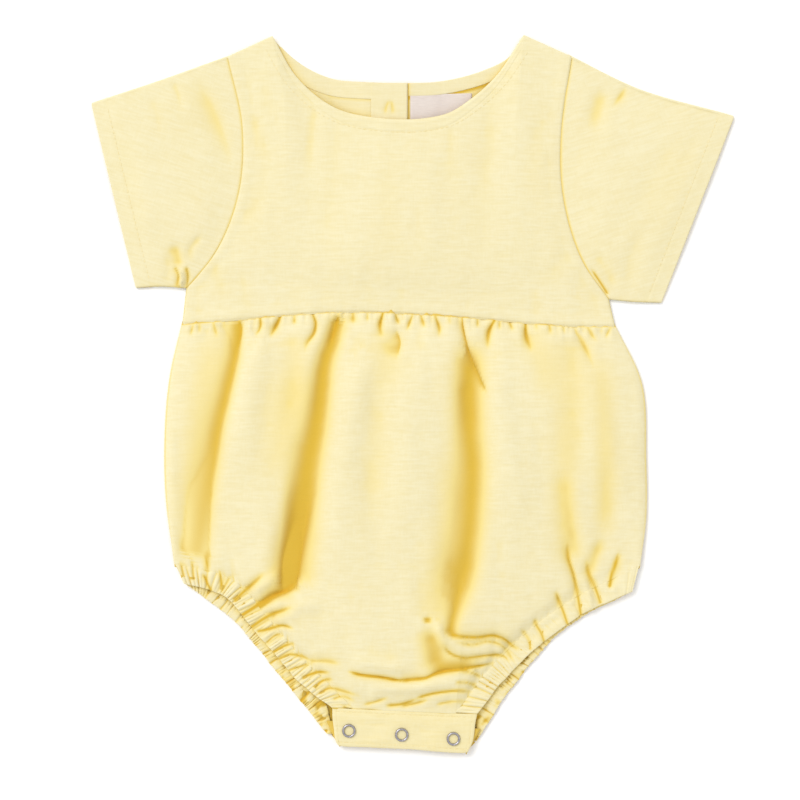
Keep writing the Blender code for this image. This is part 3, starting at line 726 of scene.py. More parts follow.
def make_facing(name, height, width, first_x, last_x, rests_on):
    """A strip of facing along the back neck, pressed under at the neck and at its own lower edge."""
    edge = part_of(BACK_NECK, first_x, last_x)
    strip = lies_at(strip_between(beside(edge, -width), edge), height, FACING_ABOVE)
    places = laid_out(strip, 90, 10)
    loose = drift(places[..., 0], places[..., 1], 14, 30, 21) * 0.25
    places[..., 2] += 0.4 * loose * np.linspace(1, 0.2, 11)[:, None]
    places = shaded(places, (FRONT_NECK, 3.5, 0.35), (FRONT_NECK, 1.2, 0.9), (LAP_LINE, 1.3, 1.4))
    places = turned_under(turned_under(places, "top", 0.25), "bottom", 0.22)
    sew(name, places, INSIDE, FACING_PLY, rests_on=[rests_on])


def make_button_band():
    ends = (BAND_LEFT, INNER_LAP_EDGE - 0.3)
    top = part_of(BACK_NECK, *ends)
    bottom = stretch(beside(WAIST, 0.6), *(share_where(WAIST, x) for x in ends))
    places = laid_out(lies_at(strip_between(bottom, top), left_half_height, FACING_ABOVE + 0.35), 24, 110)
    places[..., 2] += 0.2 * drift(places[..., 0], places[..., 1], 9, 16, 5)
    places = pressed(places, BUTTON_BAND_PUCKERS)
    for edge, radius in (("right", 0.25), ("left", 0.22), ("top", 0.25)):
        places = turned_under(places, edge, radius)
    rests_on = ["back_bodice_left"]
    sew("back_button_band", places, INSIDE, FACING_PLY, rests_on=rests_on)


make_back_halves()
make_facing(
    "neck_facing_left", left_half_height, FACING_WIDTH_LEFT, -72.0, BAND_LEFT + 1.5, "back_bodice_left"
)
make_facing(
    "neck_facing_right", right_half_height, FACING_WIDTH_RIGHT, INNER_LAP_EDGE + 0.4, 71.0,
    "back_bodice_right",
)
make_button_band()

# ---------------------------------------------------------------- label
# A small satin label, woven plain, hangs from under the right-hand facing, which holds its top edge.
# Both of its ends are cut straight.

LABEL_LEFT, LABEL_RIGHT, LABEL_TOP, LABEL_LENGTH = 5.6, 42.6, 179.4, 19.0
LABEL_TILT = 0.9  # how much higher its right-hand end is held


def satin(name):
    """Pale pink satin: close fine ribs across it, with a painted sheen that makes its colour lighter along the
    ribs and in soft clouds.
    """
    material, wire, shader = start_finish(name, 0.5, Sheen_Weight=0.15, Specular_IOR_Level=0.4)
    place = wire.node("TexCoord", output="Object")
    ribs = wire.node("Mapping", {}, {"Vector": place, "Scale": (250, 3200, 100)})
    rib = ribs.noise(1.0, Detail=1.0)
    # Painted sheen: the colour is lighter where the ribs and clouds rise.
    painted_sheen = (rib * 0.6 + place.noise(90.0, Detail=2.0) * 0.4).between(0.3, 0.7)
    colour = painted_sheen.mix((0.66, 0.57, 0.52), (0.75, 0.67, 0.61))
    feed(wire, shader, Base_Color=colour, Normal=rib.bump(0.25, 0.0002))
    return material


def make_label():
    top = level(0, (LABEL_LEFT, LABEL_TOP), (LABEL_RIGHT, LABEL_TOP + LABEL_TILT))
    bottom = level(0, (LABEL_LEFT, LABEL_TOP - LABEL_LENGTH), (LABEL_RIGHT, LABEL_TOP - LABEL_LENGTH))
    hung = lies_at(strip_between(bottom, top), right_half_height, FACING_ABOVE - 0.12)
    places = laid_out(hung, 40, 26)
    loose = 1 + drift(places[..., 0], places[..., 1], 16, 12, 8)
    places[..., 2] += 0.25 * smooth_step(from_edge(places, "top"), 0, 12) * loose
    finish, rests_on = satin("label_satin"), ["back_bodice_right"]
    sew("label", places, finish, 0.3, rests_on=rests_on)


make_label()

# ---------------------------------------------------------------- back buttons
# Three small buttons close the laps. Each is turned from shell as a shallow dish with a raised rim,
# and lies on the outer side of the back, next to the table.

BUTTON_PROFILE = (
    (0, 0.75), (3.2, 0.7), (3.9, 0.2), (4.6, 0.0), (5.2, 0.25), (5.5, 0.8), (5.3, 1.4), (4.6, 1.75), (0, 1.8),
)
ROUND_SEGMENTS = 40


def turned_shape(name, profile, finish):
    """A closed profile of (radius, height) rows, in mm, turned round the upright axis."""
    bm = bmesh.new()
    ring = [bm.verts.new((radius * MM, 0, height * MM)) for radius, height in profile]
    edges = [bm.edges.new(pair) for pair in zip(ring, ring[1:])]
    bmesh.ops.spin(
        bm, geom=ring + edges, axis=(0, 0, 1), cent=(0, 0, 0), dvec=(0, 0, 0),
        angle=2 * math.pi, steps=ROUND_SEGMENTS, use_merge=True,
    )
    bmesh.ops.remove_doubles(bm, verts=bm.verts, dist=0.00001)
    bmesh.ops.recalc_face_normals(bm, faces=bm.faces)
    return new_piece(name, bm, finish)


def fix_on(node, profile, finish, height):
    """Puts a turned piece where a CAD node is, at a height in mm."""
    piece = turned_shape(node, profile, finish)
    low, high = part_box(node)
    middle = (low + high) / 2
    piece.location = (middle.x, middle.y, height * MM)
    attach(piece, "root")
    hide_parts(node)


def pearly(name):
    """Button shell: cream with soft clouds, polished under a clear coat."""
    material, wire, shader = start_finish(name, 0.3, Coat_Weight=0.5, Coat_Roughness=0.1)
    place = wire.node("TexCoord", output="Object")
    clouds = place.noise(420.0, Distortion=1.5).between(0.3, 0.7)
    feed(wire, shader, Base_Color=clouds.mix((0.80, 0.70, 0.48), (0.93, 0.87, 0.70)))
    return material


SHELL = pearly("button_shell")
for number in (1, 2, 3):
    fix_on(f"back_button_{number}", BUTTON_PROFILE, SHELL, 0)

# ---------------------------------------------------------------- back leg casings
# Each leg edge is a channel of linen about 10 mm deep, drawn up in close pleats on narrow elastic.
# The back casings lie on the table, and a strip of each shows below the front ones.

BACK_CASING_LENGTH, BACK_PLEAT_PITCHES, BACK_PLEAT_DEPTHS = 138, (5.2, 2.3), (1.1, 0.9)
PRESSED_HEIGHT, PRESSED_GIVE = 1.4, 0.65  # the front's weight squashes the back casings to this height


def pleats(run, pitch, seed):
    """Heights from -0.6 to 0.4 of the uneven pleats that lie along a run of gathered cloth, in mm."""
    uneven = 0.5 * drift(run, 0 * run, 6.5, 9, seed) + 0.8 * drift(run, 0 * run, 21, 9, seed + 1)
    return (0.5 + 0.5 * np.sin(2 * math.pi * (run / pitch + uneven))) ** 0.55 - 0.6


def ruched(leg, inner, length, pitches, depths, seed, crown, evenness):
    """A casing's grid of places: uneven pleats run across it, and it swells over its elastic."""
    rows = np.linspace(0, 1.04, 15)
    places = laid_out(strip_between(leg, inner), 440, rows)
    t, v = np.linspace(0, 1, 441)[None, :], rows[:, None]
    run = length * t + 2.4 * (1 - v) * drift(length * t, 0 * t, 11, 9, seed)
    uneven = 1 + (1 - v) * (0.9 * drift(run, 6 * v + 0 * run, 8, 4, seed + 2) - 0.1)
    close = uneven * (1 - v**3) * pleats(run, pitches[1], seed + 5)
    pleated = evenness(t) * (depths[0] * pleats(run, pitches[0], seed) + depths[1] * close)
    places[..., 2] += crown * (1 - v * v) + pleated
    # Painted shade in the pleats' hollows.
    places[..., 3] = np.clip(-1.1 * pleated / sum(depths), 0, 0.85) * np.clip(evenness(t) * 1.2, 0, 1)
    places[..., 2] += 0.7 * drift(run, 9 * v + 0 * run, 7, 5, seed + 3) * np.sin(math.pi * v)
    edge = 0.5 * drift(run, 0 * run, 9, 9, seed + 4) + 0.4 * pleated * (1 - v)
    edge *= np.sin(math.pi * t) ** 0.5 * (1 - v)
    places[..., :3] += side_of(leg, t.ravel())[None] * edge[..., None]
    return places


def drawn_up_alike(t):
    """A casing that is drawn up alike all along."""
    return 1.0 + 0 * t


def make_casing(name, places, rests_on, turn):
    """A casing turned under at the leg."""
    places = turned_under(places, "bottom", turn, inside=5)
    sew(name, places, YELLOW, rests_on=rests_on)


def make_back_casings():
    for name, leg, inner, over, seed in (
        ("back_casing_left", BACK_LEG_LEFT, BACK_INNER_LEFT, FRONT_LEG_LEFT, 31),
        ("back_casing_right", BACK_LEG_RIGHT, BACK_INNER_RIGHT, FRONT_LEG_RIGHT, 47),
    ):
        places = ruched(
            leg, inner, BACK_CASING_LENGTH, BACK_PLEAT_PITCHES, BACK_PLEAT_DEPTHS, seed, 0.6, drawn_up_alike
        )
        x, y = places[..., 0], places[..., 1]
        twist = drift(x + y, x - y, 5.5, 3.2, seed + 9)
        proud = places[..., 2] + 0.9 * twist - 1.2
        places[..., 2] = PRESSED_HEIGHT + PRESSED_GIVE * np.tanh(proud / PRESSED_GIVE)
        # Painted shade: golden all over, deeper in its pleats and twists, and deeper towards the band.
        tint = 1.25 * places[..., 3] + 0.15 + (0.25 - 0.6 * twist) * fading(y + 200, 38) - 0.3 * twist
        places[..., 3] = np.clip(tint, 0.05, 1.4)
        places = shaded(places, (over, 3.0, 0.6), *((end, 4.0, 1.1) for end in BAND_ENDS))
        make_casing(name, places, ["table"], 0.25)


make_back_casings()

# ---------------------------------------------------------------- back crotch band and studs
# A band of doubled linen on the back's lower edge turns up and lies under the front one.
# It carries three pressed steel studs, which are closed into the sockets of the front band.

NEXT_PLY = 1.3  # from the middle of one ply to the middle of the ply over it
BACK_BAND_INSET = 1.2


def steel(name):
    """Bright plated steel with a faint haze and fine scratches; its darker and paler grey patches of colour
    are a painted reflection.
    """
    material, wire, shader = start_finish(name, 0.2, metallic=1.0)
    place = wire.node("TexCoord", output="Object")
    haze_and_painted_reflection = place.noise(900.0, Detail=3.0)
    # Painted reflection: the colour swings between a dark and a pale grey in patches; the same noise roughens
    # and scratches it.
    colour = haze_and_painted_reflection.between(0.3, 0.7).mix((0.30, 0.28, 0.31), (0.52, 0.50, 0.53))
    feed(wire, shader, Base_Color=colour, Roughness=0.16 + haze_and_painted_reflection * 0.2, Normal=haze_and_painted_reflection.bump(0.12, 0.0001))
    return material


STEEL = steel("snap_steel")


def make_back_band():
    radius = NEXT_PLY / 2
    turn_start, turn_end = 0.2, 0.45

    def at(across, along):
        lower, upper = BAND_BOTTOM(across), BAND_TOP(across)
        fold_y = lower[:, 1] + BACK_BAND_INSET + radius + PLY
        share = slope(along, turn_start, turn_end)
        out = np.clip(1 - along / turn_start, 0, 1) * 3.0
        back = slope(along, turn_end, 1) * (upper[:, 1] - fold_y - 1)
        lower[:, 0] *= 1 + 0.07 * out / 3.0 - 0.08 * share
        lower[:, 1] = fold_y + out + back - radius * np.sin(math.pi * share)
        lower[:, 2] = TABLE_Z + radius * (1 - np.cos(math.pi * share))
        return lower

    places = shaded(laid_out(at, 50, 60), *((end, 5.0, 1.1) for end in BAND_ENDS))
    sew("back_placket", places, INSIDE)
    for number in (1, 2, 3):
        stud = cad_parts[f"snap_stud_{number}"]
        stud.data.materials.clear()
        stud.data.materials.append(STEEL)


make_back_band()

# ---------------------------------------------------------------- sleeves
# Each short sleeve is one piece of linen set into the armhole and joined under the arm, and lies flat,
# folded along its top. Its hem is turned up 9 mm and stitched once round.

SLEEVE_TOP_LEFT = through([SHOULDER_LEFT, (-147.0, 185.5, 2.8), (-184.6, 173.2, 2.7)])
SLEEVE_TOP_RIGHT = through([
    SHOULDER_RIGHT, (121.0, 191.2, 2.8), (136.0, 184.0, 2.8), (198.8, 165.4, 2.7),
])
SLEEVE_UNDER_LEFT = through([UNDERARM_LEFT, (-144.0, 64.4, 1.8), (-158.1, 63.6, 1.8)])
SLEEVE_UNDER_RIGHT = through([UNDERARM_RIGHT, (140.0, 55.2, 1.8), (155.5, 54.7, 1.8)])
SLEEVE_CROWN = 1.8
SLEEVE_PLY = 0.45
FRONT_SHARE, BACK_SHARE = 0.42, 0.58  # the fold along the top lies between these shares of the piece
HEM_DEPTH = 9.0
HEM_STITCH = HEM_DEPTH - 0.6
STITCH, STITCH_SPACE, STITCH_THREAD, STITCH_SINK = 2.4, 0.9, 0.32, 0.06


def stitch_row(name, route, cloth):
    """A row of stitches along a line, laid on a piece of cloth."""
    tree = BVHTree.FromObject(cloth, bpy.context.evaluated_depsgraph_get())
    line = route(np.linspace(0, 1, 500))[:, :2] * MM + [CENTRE_FRONT_X * MM, 0]
    place = np.concatenate([[0], np.cumsum(np.linalg.norm(np.diff(line, axis=0), axis=1))])
    starts = np.arange(0, place[-1] - STITCH * MM, (STITCH + STITCH_SPACE) * MM)
    bm = bmesh.new()

    def on_cloth(distance):
        x, y = (np.interp(distance, place, line[:, axis]) for axis in (0, 1))
        hit = tree.ray_cast(Vector((x, y, 0.1)), Vector((0, 0, -1)))[0]
        return hit or Vector((x, y, 0))

    for start in starts:
        first, last = on_cloth(start), on_cloth(start + STITCH * MM)
        lie = last - first
        if lie.length > 1.6 * STITCH * MM:
            continue  # it would bridge an edge of the cloth
        turn = lie.to_track_quat("X", "Z").to_matrix().to_4x4()
        size = Matrix.Diagonal((lie.length / 2, STITCH_THREAD * MM / 2, STITCH_THREAD * MM / 2.4, 1))
        above = Vector((0, 0, (STITCH_THREAD / 2.4 - STITCH_SINK) * MM))
        middle = Matrix.Translation((first + last) / 2 + above)
        bmesh.ops.create_uvsphere(bm, u_segments=6, v_segments=5, radius=1, matrix=middle @ turn @ size)
    row = new_piece(name, bm, THREAD)
    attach(row, "root")


def thread_finish(name):
    """Polyester sewing thread a shade deeper than the cloth, with its twist."""
    material, wire, shader = start_finish(name, 0.6, Sheen_Weight=0.1)
    place = wire.node("TexCoord", output="Object")
    twist = place.noise(1500.0).between(0.3, 0.7)
    feed(wire, shader, Base_Color=twist.mix((0.80, 0.66, 0.32), (0.90, 0.79, 0.46)))
    return material


THREAD = thread_finish("sewing_thread")


def drawn_down(places, edge, depth, reach):
    """Sinks a grid towards one of its edges, as a seam draws the cloth down."""
    places[..., 2] -= depth * fading(from_edge(places, edge), reach)


def held_above(places, height):
    """Lifts places that are lower than a height up to it."""
    places[..., 2] = np.maximum(places[..., 2], height)
    return places


def tucked(places, edge, reach=2.0, drop=0.7):
    """Adds rows past an edge of a grid: its seam allowance, which goes under the next piece."""
    seen = facing(places, edge)
    out = out_of(seen)
    rows = [seen[-1] + share * reach * out - [0, 0, share**0.5 * drop, 0] for share in (0.15, 0.4, 1.0)]
    # Painted shade on the allowance, which lies under the next piece.
    for row in rows:
        with_painted_shade(row, 0.8)
    return faced_back(np.concatenate([seen, rows]), edge)


def hollow(*route, start=0.3, finish=0.5, **shape):
    """A soft fold with a round floor."""
    return Fold(*route, start=start, finish=finish, sharp=2, **shape)


def swell(*route, rise, finish=0.4, **shape):
    """A round ridge."""
    return hollow(*route, depth=-rise, finish=finish, **shape)


SLEEVE_FOLDS_LEFT = (
    hollow(
        (-127, 194), (-114, 171), (-106, 150), (-101, 130), left=(9, 5), right=(5, 4), depth=(1.2, 2.0),
        start=0.35, finish=0.55, tint=(0.2, 0.24),
    ),
    Fold(
        (-137, 188), (-133, 178), (-131, 164), left=(3, 4), right=3, depth=0.7, start=0.2, finish=0.6,
        tint=0.08,
    ),
    Fold(
        (-152, 180), (-146, 168), (-145, 150), left=5, right=(4, 5), depth=0.5, start=0.3, finish=0.5,
        tint=0.05,
    ),
    hollow(
        (-137, 92), (-134, 82), (-133, 74), left=(5, 4), right=(3.5, 3), depth=1.6, start=0.4, finish=0.3,
        tint=0.35,
    ),
    Fold(
        (-136, 77), (-133.2, 71.2), (-134.4, 64), left=(1.7, 1.3), right=1.2, depth=1.3, start=0.2,
        finish=0.1, tint=0.6, crease_shade=0.15,
    ),
    Fold(
        (-128.8, 77), (-127.6, 71), (-128.4, 63), left=(1.1, 1.0), right=1, depth=1.2, start=0.2,
        finish=0.1, tint=0.6, crease_shade=0.2,
    ),
    Fold((-132.2, 75), (-130.6, 70), (-131.4, 64), wide=1.4, depth=-2.2, start=0.3, finish=0.1),
    hollow((-118, 96), (-126, 86), (-127, 77), wide=(2, 3), depth=0.8, finish=0.4, tint=0.12),
    hollow((-142, 84), (-139, 76), (-141, 64), wide=(2, 3), depth=0.6, finish=0.3, tint=0.1),
    hollow((-168, 166), (-160, 120), (-156, 84), left=(6, 8), right=(6, 7), depth=0.5, tint=0.04),
)
SLEEVE_FOLDS_RIGHT = (
    Fold(
        (136, 186), (130.5, 177), (124, 169), left=(1.6, 2), right=(2.4, 3), depth=1.0, start=0.4,
        finish=0.6, tint=0.35,
    ),
    hollow((122, 186), (118, 172), (112, 152), wide=(5, 6), depth=1.2, start=0.35, tint=0.16),
    hollow((168, 160), (152, 128), (142, 92), left=(6, 7), right=(6, 8), depth=0.5, tint=0.06),
    hollow((182, 164), (166, 130), (150, 98), wide=(4, 6), depth=0.4, tint=0.05),
    Fold(
        (113, 76), (118, 69), (124.5, 59), wide=(1.0, 1.3), depth=1.2, start=0.3, finish=0.1, tint=0.5,
        crease_shade=0.5,
    ),
    hollow((114, 86), (122, 76), (129, 62), left=3, right=(3, 4), depth=0.8, finish=0.3, tint=0.12),
    hollow(
        (148, 104), (138, 82), (137, 58), left=(5, 4), right=5, depth=0.7, start=0.4, finish=0.3, tint=0.06,
    ),
)


def make_sleeve(name, seam, top_line, under_line, folds, outward):
    """outward is -1 on the left, where the sleeve runs towards -x, and 1 on the right."""
    hem = through([point_of(under_line, 1), point_of(top_line, 1)])

    def at(round_it, out):
        front, back = round_it <= FRONT_SHARE, round_it >= BACK_SHARE
        under = (round_it - BACK_SHARE) / (1 - BACK_SHARE)
        down = np.where(front, 1 - round_it / FRONT_SHARE, np.where(back, under, 0))
        places = between(seam, hem, under_line, top_line)(1 - down, out)
        crown = SLEEVE_CROWN * np.sin(math.pi * down) ** 0.7 * smooth_step(out, 0, 0.35)
        turn = math.pi * slope(round_it, FRONT_SHARE, BACK_SHARE)
        radius = (places[:, 2] - TABLE_Z) / 2
        places[:, 1] += np.where(front | back, 0, radius * np.sin(turn))
        in_turn = TABLE_Z + radius * (1 + np.cos(turn))
        places[:, 2] = np.where(front, places[:, 2] + crown, np.where(back, TABLE_Z, in_turn))
        return places

    stops, counts = (0, FRONT_SHARE, BACK_SHARE, 1), (91, 13, 41)
    shares = [np.linspace(*ends)[1:] for ends in zip(stops, stops[1:], counts)]
    shares = np.concatenate([[0], *shares])
    places = laid_out(at, shares, 90)
    on_front = (shares <= FRONT_SHARE)[None, :] * np.ones((91, 1))
    height = places[..., 2].copy()
    places = pressed(places, folds)
    # Painted shade only on the front layer, which is the one seen.
    places[..., 3] *= on_front
    x, y = places[..., 0], places[..., 1]
    places[..., 2] += 0.35 * drift(x, y, 26, 22, 61) + 0.2 * drift(x, y, 9, 13, 62)
    fade = on_front * smooth_step(from_edge(places, "left"), 0, 6)
    places[..., 2] = height + fade * (places[..., 2] - height)
    from_hem = from_edge(places, "top")
    places[..., 2] += on_front * (0.25 * (1 - smooth_step(from_hem, HEM_STITCH, HEM_DEPTH + 0.8)))
    places[..., 2] -= on_front * 0.28 * fading(from_hem - HEM_DEPTH + 0.6, 0.8)
    # Painted shade along the armhole seam, where the cloth dips into it.
    with_painted_shade(places, on_front * 0.75 * fading(from_edge(places, "bottom"), 0.9))
    drawn_down(places, "bottom", 0.45, 0.9)
    closed = 0.6 + 0.4 * smooth_step(from_hem, 0, 18)  # the opening lies nearly shut
    places[..., 2] = np.maximum(TABLE_Z + closed * (places[..., 2] - TABLE_Z), TABLE_Z)
    places = turned_under(tucked(places, "bottom", 2.0, 0.5), "top", 0.45, inside=HEM_DEPTH)
    held_above(places, TABLE_Z)
    if outward < 0:
        places = places[:, ::-1]
    sleeve = sew(name, places, YELLOW_TURNED[outward], ply=SLEEVE_PLY)
    stitch_row(f"stitches_{name}", stretch(beside(hem, outward * HEM_STITCH), 0.03, 0.985), sleeve)


YELLOW_TURNED = {
    -1: linen("yellow_linen_left", grain_turn=math.radians(17)),
    1: linen("yellow_linen_right", grain_turn=math.radians(-17)),
}
make_sleeve(
    "sleeve_left", ARMHOLE_LEFT, SLEEVE_TOP_LEFT, SLEEVE_UNDER_LEFT, SLEEVE_FOLDS_LEFT, -1
)
make_sleeve(
    "sleeve_right", ARMHOLE_RIGHT, SLEEVE_TOP_RIGHT, SLEEVE_UNDER_RIGHT, SLEEVE_FOLDS_RIGHT, 1
)

# ---------------------------------------------------------------- front bodice
# One plain panel of linen without darts, sewn to the sleeves, at the shoulders and to the gathered skirt.
# Its neck is bound to the inside, so the edge is a thick roll, and stitched round 7 mm from it.

SHOULDER_SHARE = 0.15
BODICE_CROWN = 2.4
NECK_STITCH = 7.0

BODICE_FOLDS = (
    hollow((-90, 172), (-84, 150), (-76, 128), left=(4, 6), right=(4, 5), depth=0.54, tint=0.09),
    hollow((-82, 192), (-80, 176), (-72, 156), left=(3, 5), right=(3, 4), depth=0.42, tint=0.07),
    hollow((-98, 96), (-88, 112), (-80, 140), wide=(4, 5), depth=0.42, tint=0.06),
    swell((-66, 176), (-68, 120), (-64, 62), wide=(6, 9), rise=0.36),
    hollow(
        (-52, 172), (-54, 150), (-56, 112), left=(2.5, 5), right=(2.5, 4), depth=0.3, start=0.1, finish=0.6,
        tint=0.06,
    ),
    hollow((-38, 166), (-42, 120), (-40, 58), wide=(5, 7), depth=0.3, start=0.2, tint=0.05),
    hollow((-6, 159), (-8, 116), (-3, 62), wide=(4, 8), depth=0.3, start=0.2, tint=0.05),
    swell((14, 158), (17, 104), (14, 54), left=(5, 7), right=(5, 6), rise=0.3),
    hollow((30, 165), (30, 140), (34, 100), wide=(3, 6), depth=0.3, start=0.2, finish=0.6, tint=0.05),
    hollow((56, 178), (49, 118), (51, 60), wide=(5, 8), depth=0.33, start=0.2, tint=0.06),
    hollow((86, 180), (80, 128), (86, 96), left=(4, 7), right=(4, 6), depth=0.36, tint=0.07),
    hollow((106, 84), (94, 76), (88, 58), wide=(4, 6), depth=0.36, tint=0.07),
    hollow((-114, 82), (-108, 64), (-107, 48), wide=(3, 5), depth=0.42, start=0.2, tint=0.09),
    hollow((-96, 76), (-93, 60), (-95, 46), wide=(3, 4), depth=0.3, finish=0.4, tint=0.06),
)


def crowded(count, *stops):
    """count + 1 shares from 0 to 1, closer together where the stops, (share, density), are denser."""
    even = np.linspace(0, 1, 400)
    density = np.interp(even, *zip(*stops))
    run = np.concatenate([[0], np.cumsum((density[1:] + density[:-1]) / 2)])
    return np.interp(np.linspace(0, run[-1], count + 1), run, even)


def make_front_bodice():
    left_shoulder, neckline = (SHOULDER_SHARE, SHOULDER_SEAM_LEFT), (1 - SHOULDER_SHARE, FRONT_NECK)
    top = joined(left_shoulder, neckline, (1, SHOULDER_SEAM_RIGHT))
    left = joined((UNDERARM_SHARE, BODICE_SIDE_LEFT), (1, ARMHOLE_LEFT))
    right = joined((UNDERARM_SHARE, BODICE_SIDE_RIGHT), (1, ARMHOLE_RIGHT))
    panel = between(WAIST, top, left, right)

    def at(across, up):
        places = panel(across, up)
        places[:, 2] += BODICE_CROWN * np.clip(np.sin(math.pi * across) * np.sin(math.pi * up), 0, 1) ** 0.6
        return places

    even_columns = crowded(200, (0, 3), (0.04, 1), (0.96, 1), (1, 3))
    across = np.unique(np.concatenate([even_columns, [SHOULDER_SHARE, 1 - SHOULDER_SHARE]]))
    places = laid_out(at, across, crowded(150, (0, 3), (0.05, 1), (0.9, 1), (0.94, 2), (1, 3)))
    places = pressed(places, BODICE_FOLDS)
    x, y, z = (places[..., axis] for axis in range(3))
    z += 0.45 * drift(x, y, 34, 60, 71) + 0.25 * drift(x, y, 9, 34, 72) + 0.12 * drift(x, y, 5, 6, 73)
    on_neck = smooth_step(across, SHOULDER_SHARE, 0.17) * (1 - smooth_step(across, 0.83, 1 - SHOULDER_SHARE))
    from_neck = from_edge(places, "top")
    pull = 0.18 * drift(x, 0 * x, 5, 9, 74) * fading(from_neck - NECK_STITCH, 3.0)
    rim = 0.22 * fading(from_neck - 1.2, 1.3) + 0.2 * (1 - smooth_step(from_neck, 6.4, 8.8))
    z += on_neck * (rim + pull)
    z -= on_neck * 0.25 * fading(from_neck - NECK_STITCH, 0.7)
    for side in ("left", "right"):
        from_seam = from_edge(places, side)
        z += 0.4 * smooth_step(from_seam, 0.1, 1.4) * (1 - smooth_step(from_seam, 3.0, 9.0))
        drawn_down(places, side, 0.4, 0.7)
    from_waist = from_edge(places, "bottom")
    z += 0.35 * smooth_step(from_waist, 0.1, 1.4) * (1 - smooth_step(from_waist, 3.0, 8.0))
    z += 0.3 * drift(x, 0 * x, 3.4, 9, 75) * fading(from_edge(places, "bottom"), 4.0)
    drawn_down(places, "bottom", 0.3, 0.7)
    places = turned_under(turned_under(places, "top", 0.75, inside=6), "bottom", 0.3, inside=1.5)
    rests_on = ["back_bodice_left", "back_bodice_right"]
    panel = sew("front_bodice", held_above(places, TABLE_Z), YELLOW, rests_on=rests_on)
    stitch_row("neck_stitches", stretch(beside(FRONT_NECK, -NECK_STITCH), 0.02, 0.98), panel)


make_front_bodice()

# ---------------------------------------------------------------- front skirt
# One wide panel, gathered into the waist seam and into the leg casings, so that it stands up as a bubble.
# Its folds lie as the cloth fell: three deep ones down it and a nest of creases above the crotch band.

SKIRT_RISE = 9.5
LEG_PITCHES, LEG_PLEAT_DEPTHS = (4.6, 2.1), (0.9, 0.7)
LEG_SEEDS = (106, 206)  # the pleats run from the skirt on into the casings
FRONT_CASING_LENGTH = 116
FRONT_END_WIDTH = 12.5
FRONT_INNER_LEFT = casing_inner(
    FRONT_LEG_LEFT, reach_to(FRONT_LEG_LEFT, 0, SIDE_END_LEFT), (FRONT_END_WIDTH, -0.6, 0)
)
FRONT_INNER_RIGHT = casing_inner(
    FRONT_LEG_RIGHT, (-FRONT_END_WIDTH, 0.5, 0), reach_to(FRONT_LEG_RIGHT, 1, SIDE_END_RIGHT)
)


def gather(*route, width=1.1, depth=1.8):
    """A small fold that runs down from the waist seam, widens and dies out."""
    shape = {"left": (width * 0.9, width * 2.2), "right": (width * 0.7, width * 1.7), "depth": depth * 1.25}
    return Fold(*route, **shape, finish=0.7, tint=min(0.9, 0.3 * depth), crease_shade=0.12 * depth)


def drawn_up_at_band(t):
    """A right-hand casing that is drawn up near the crotch band, and lies nearly smooth towards the side."""
    return 1 - 0.75 * smooth_step(t, 0.12, 0.5)


WAIST_GATHERS = (
    gather((-124, 42), (-126.6, 33), depth=1.2),
    gather((-120.5, 42.5), (-120.3, 35), depth=1.4),
    gather((-112, 43), (-109.5, 32), depth=1.6),
    gather((-106, 43.5), (-105, 38), depth=1.0),
    gather((-84, 45), (-83, 39), depth=1.0),
    gather((-72, 46), (-75, 40), (-79, 32), width=1.5, depth=3.0),
    gather((-63.5, 46.5), (-63.5, 40), depth=1.6),
    gather((-52.5, 47.5), (-50.8, 42.5), (-51.5, 37), (-56, 30), (-58, 22), width=1.3, depth=2.4),
    gather((-28.5, 48.5), (-28.5, 40), width=1.9, depth=2.0),
    gather((-20, 48), (-20, 42), depth=1.2),
    gather((-10.7, 48), (-12.2, 42), (-11.5, 32), width=1.4, depth=2.8),
    gather((-3.2, 47), (-0.5, 40), depth=1.8),
    gather((6.8, 46.5), (2.8, 36), depth=1.9),
    gather((12.2, 46.5), (15, 38), depth=1.7),
    gather((20.5, 46.5), (23, 38.5), (22.2, 32), width=1.3, depth=2.2),
    gather((28.8, 46.5), (29.5, 40), depth=1.2),
    gather((45.8, 45.5), (45.8, 38), depth=1.8),
    gather((56.5, 45), (53, 38), (51.5, 24), width=1.5, depth=2.8),
    gather((59, 44.5), (59, 37), depth=1.6),
    gather((64, 44.5), (68, 36.5), depth=1.9),
    gather((74.5, 43.8), (75, 34.5), (79, 23), width=1.5, depth=2.8),
    gather((80.6, 43.4), (81.6, 36.5), depth=1.6),
    gather((88.4, 43), (90.4, 34), depth=1.8),
    gather((96, 42.4), (98, 35), depth=1.2),
    Fold((103, 41), (110, 28), (118, 9), left=(1.1, 4), right=(0.9, 5), depth=2.4, finish=0.7),
    gather((111, 41), (118.5, 29), width=1.3, depth=1.6),
    gather((126, 40.5), (121.5, 32), depth=1.3),
)
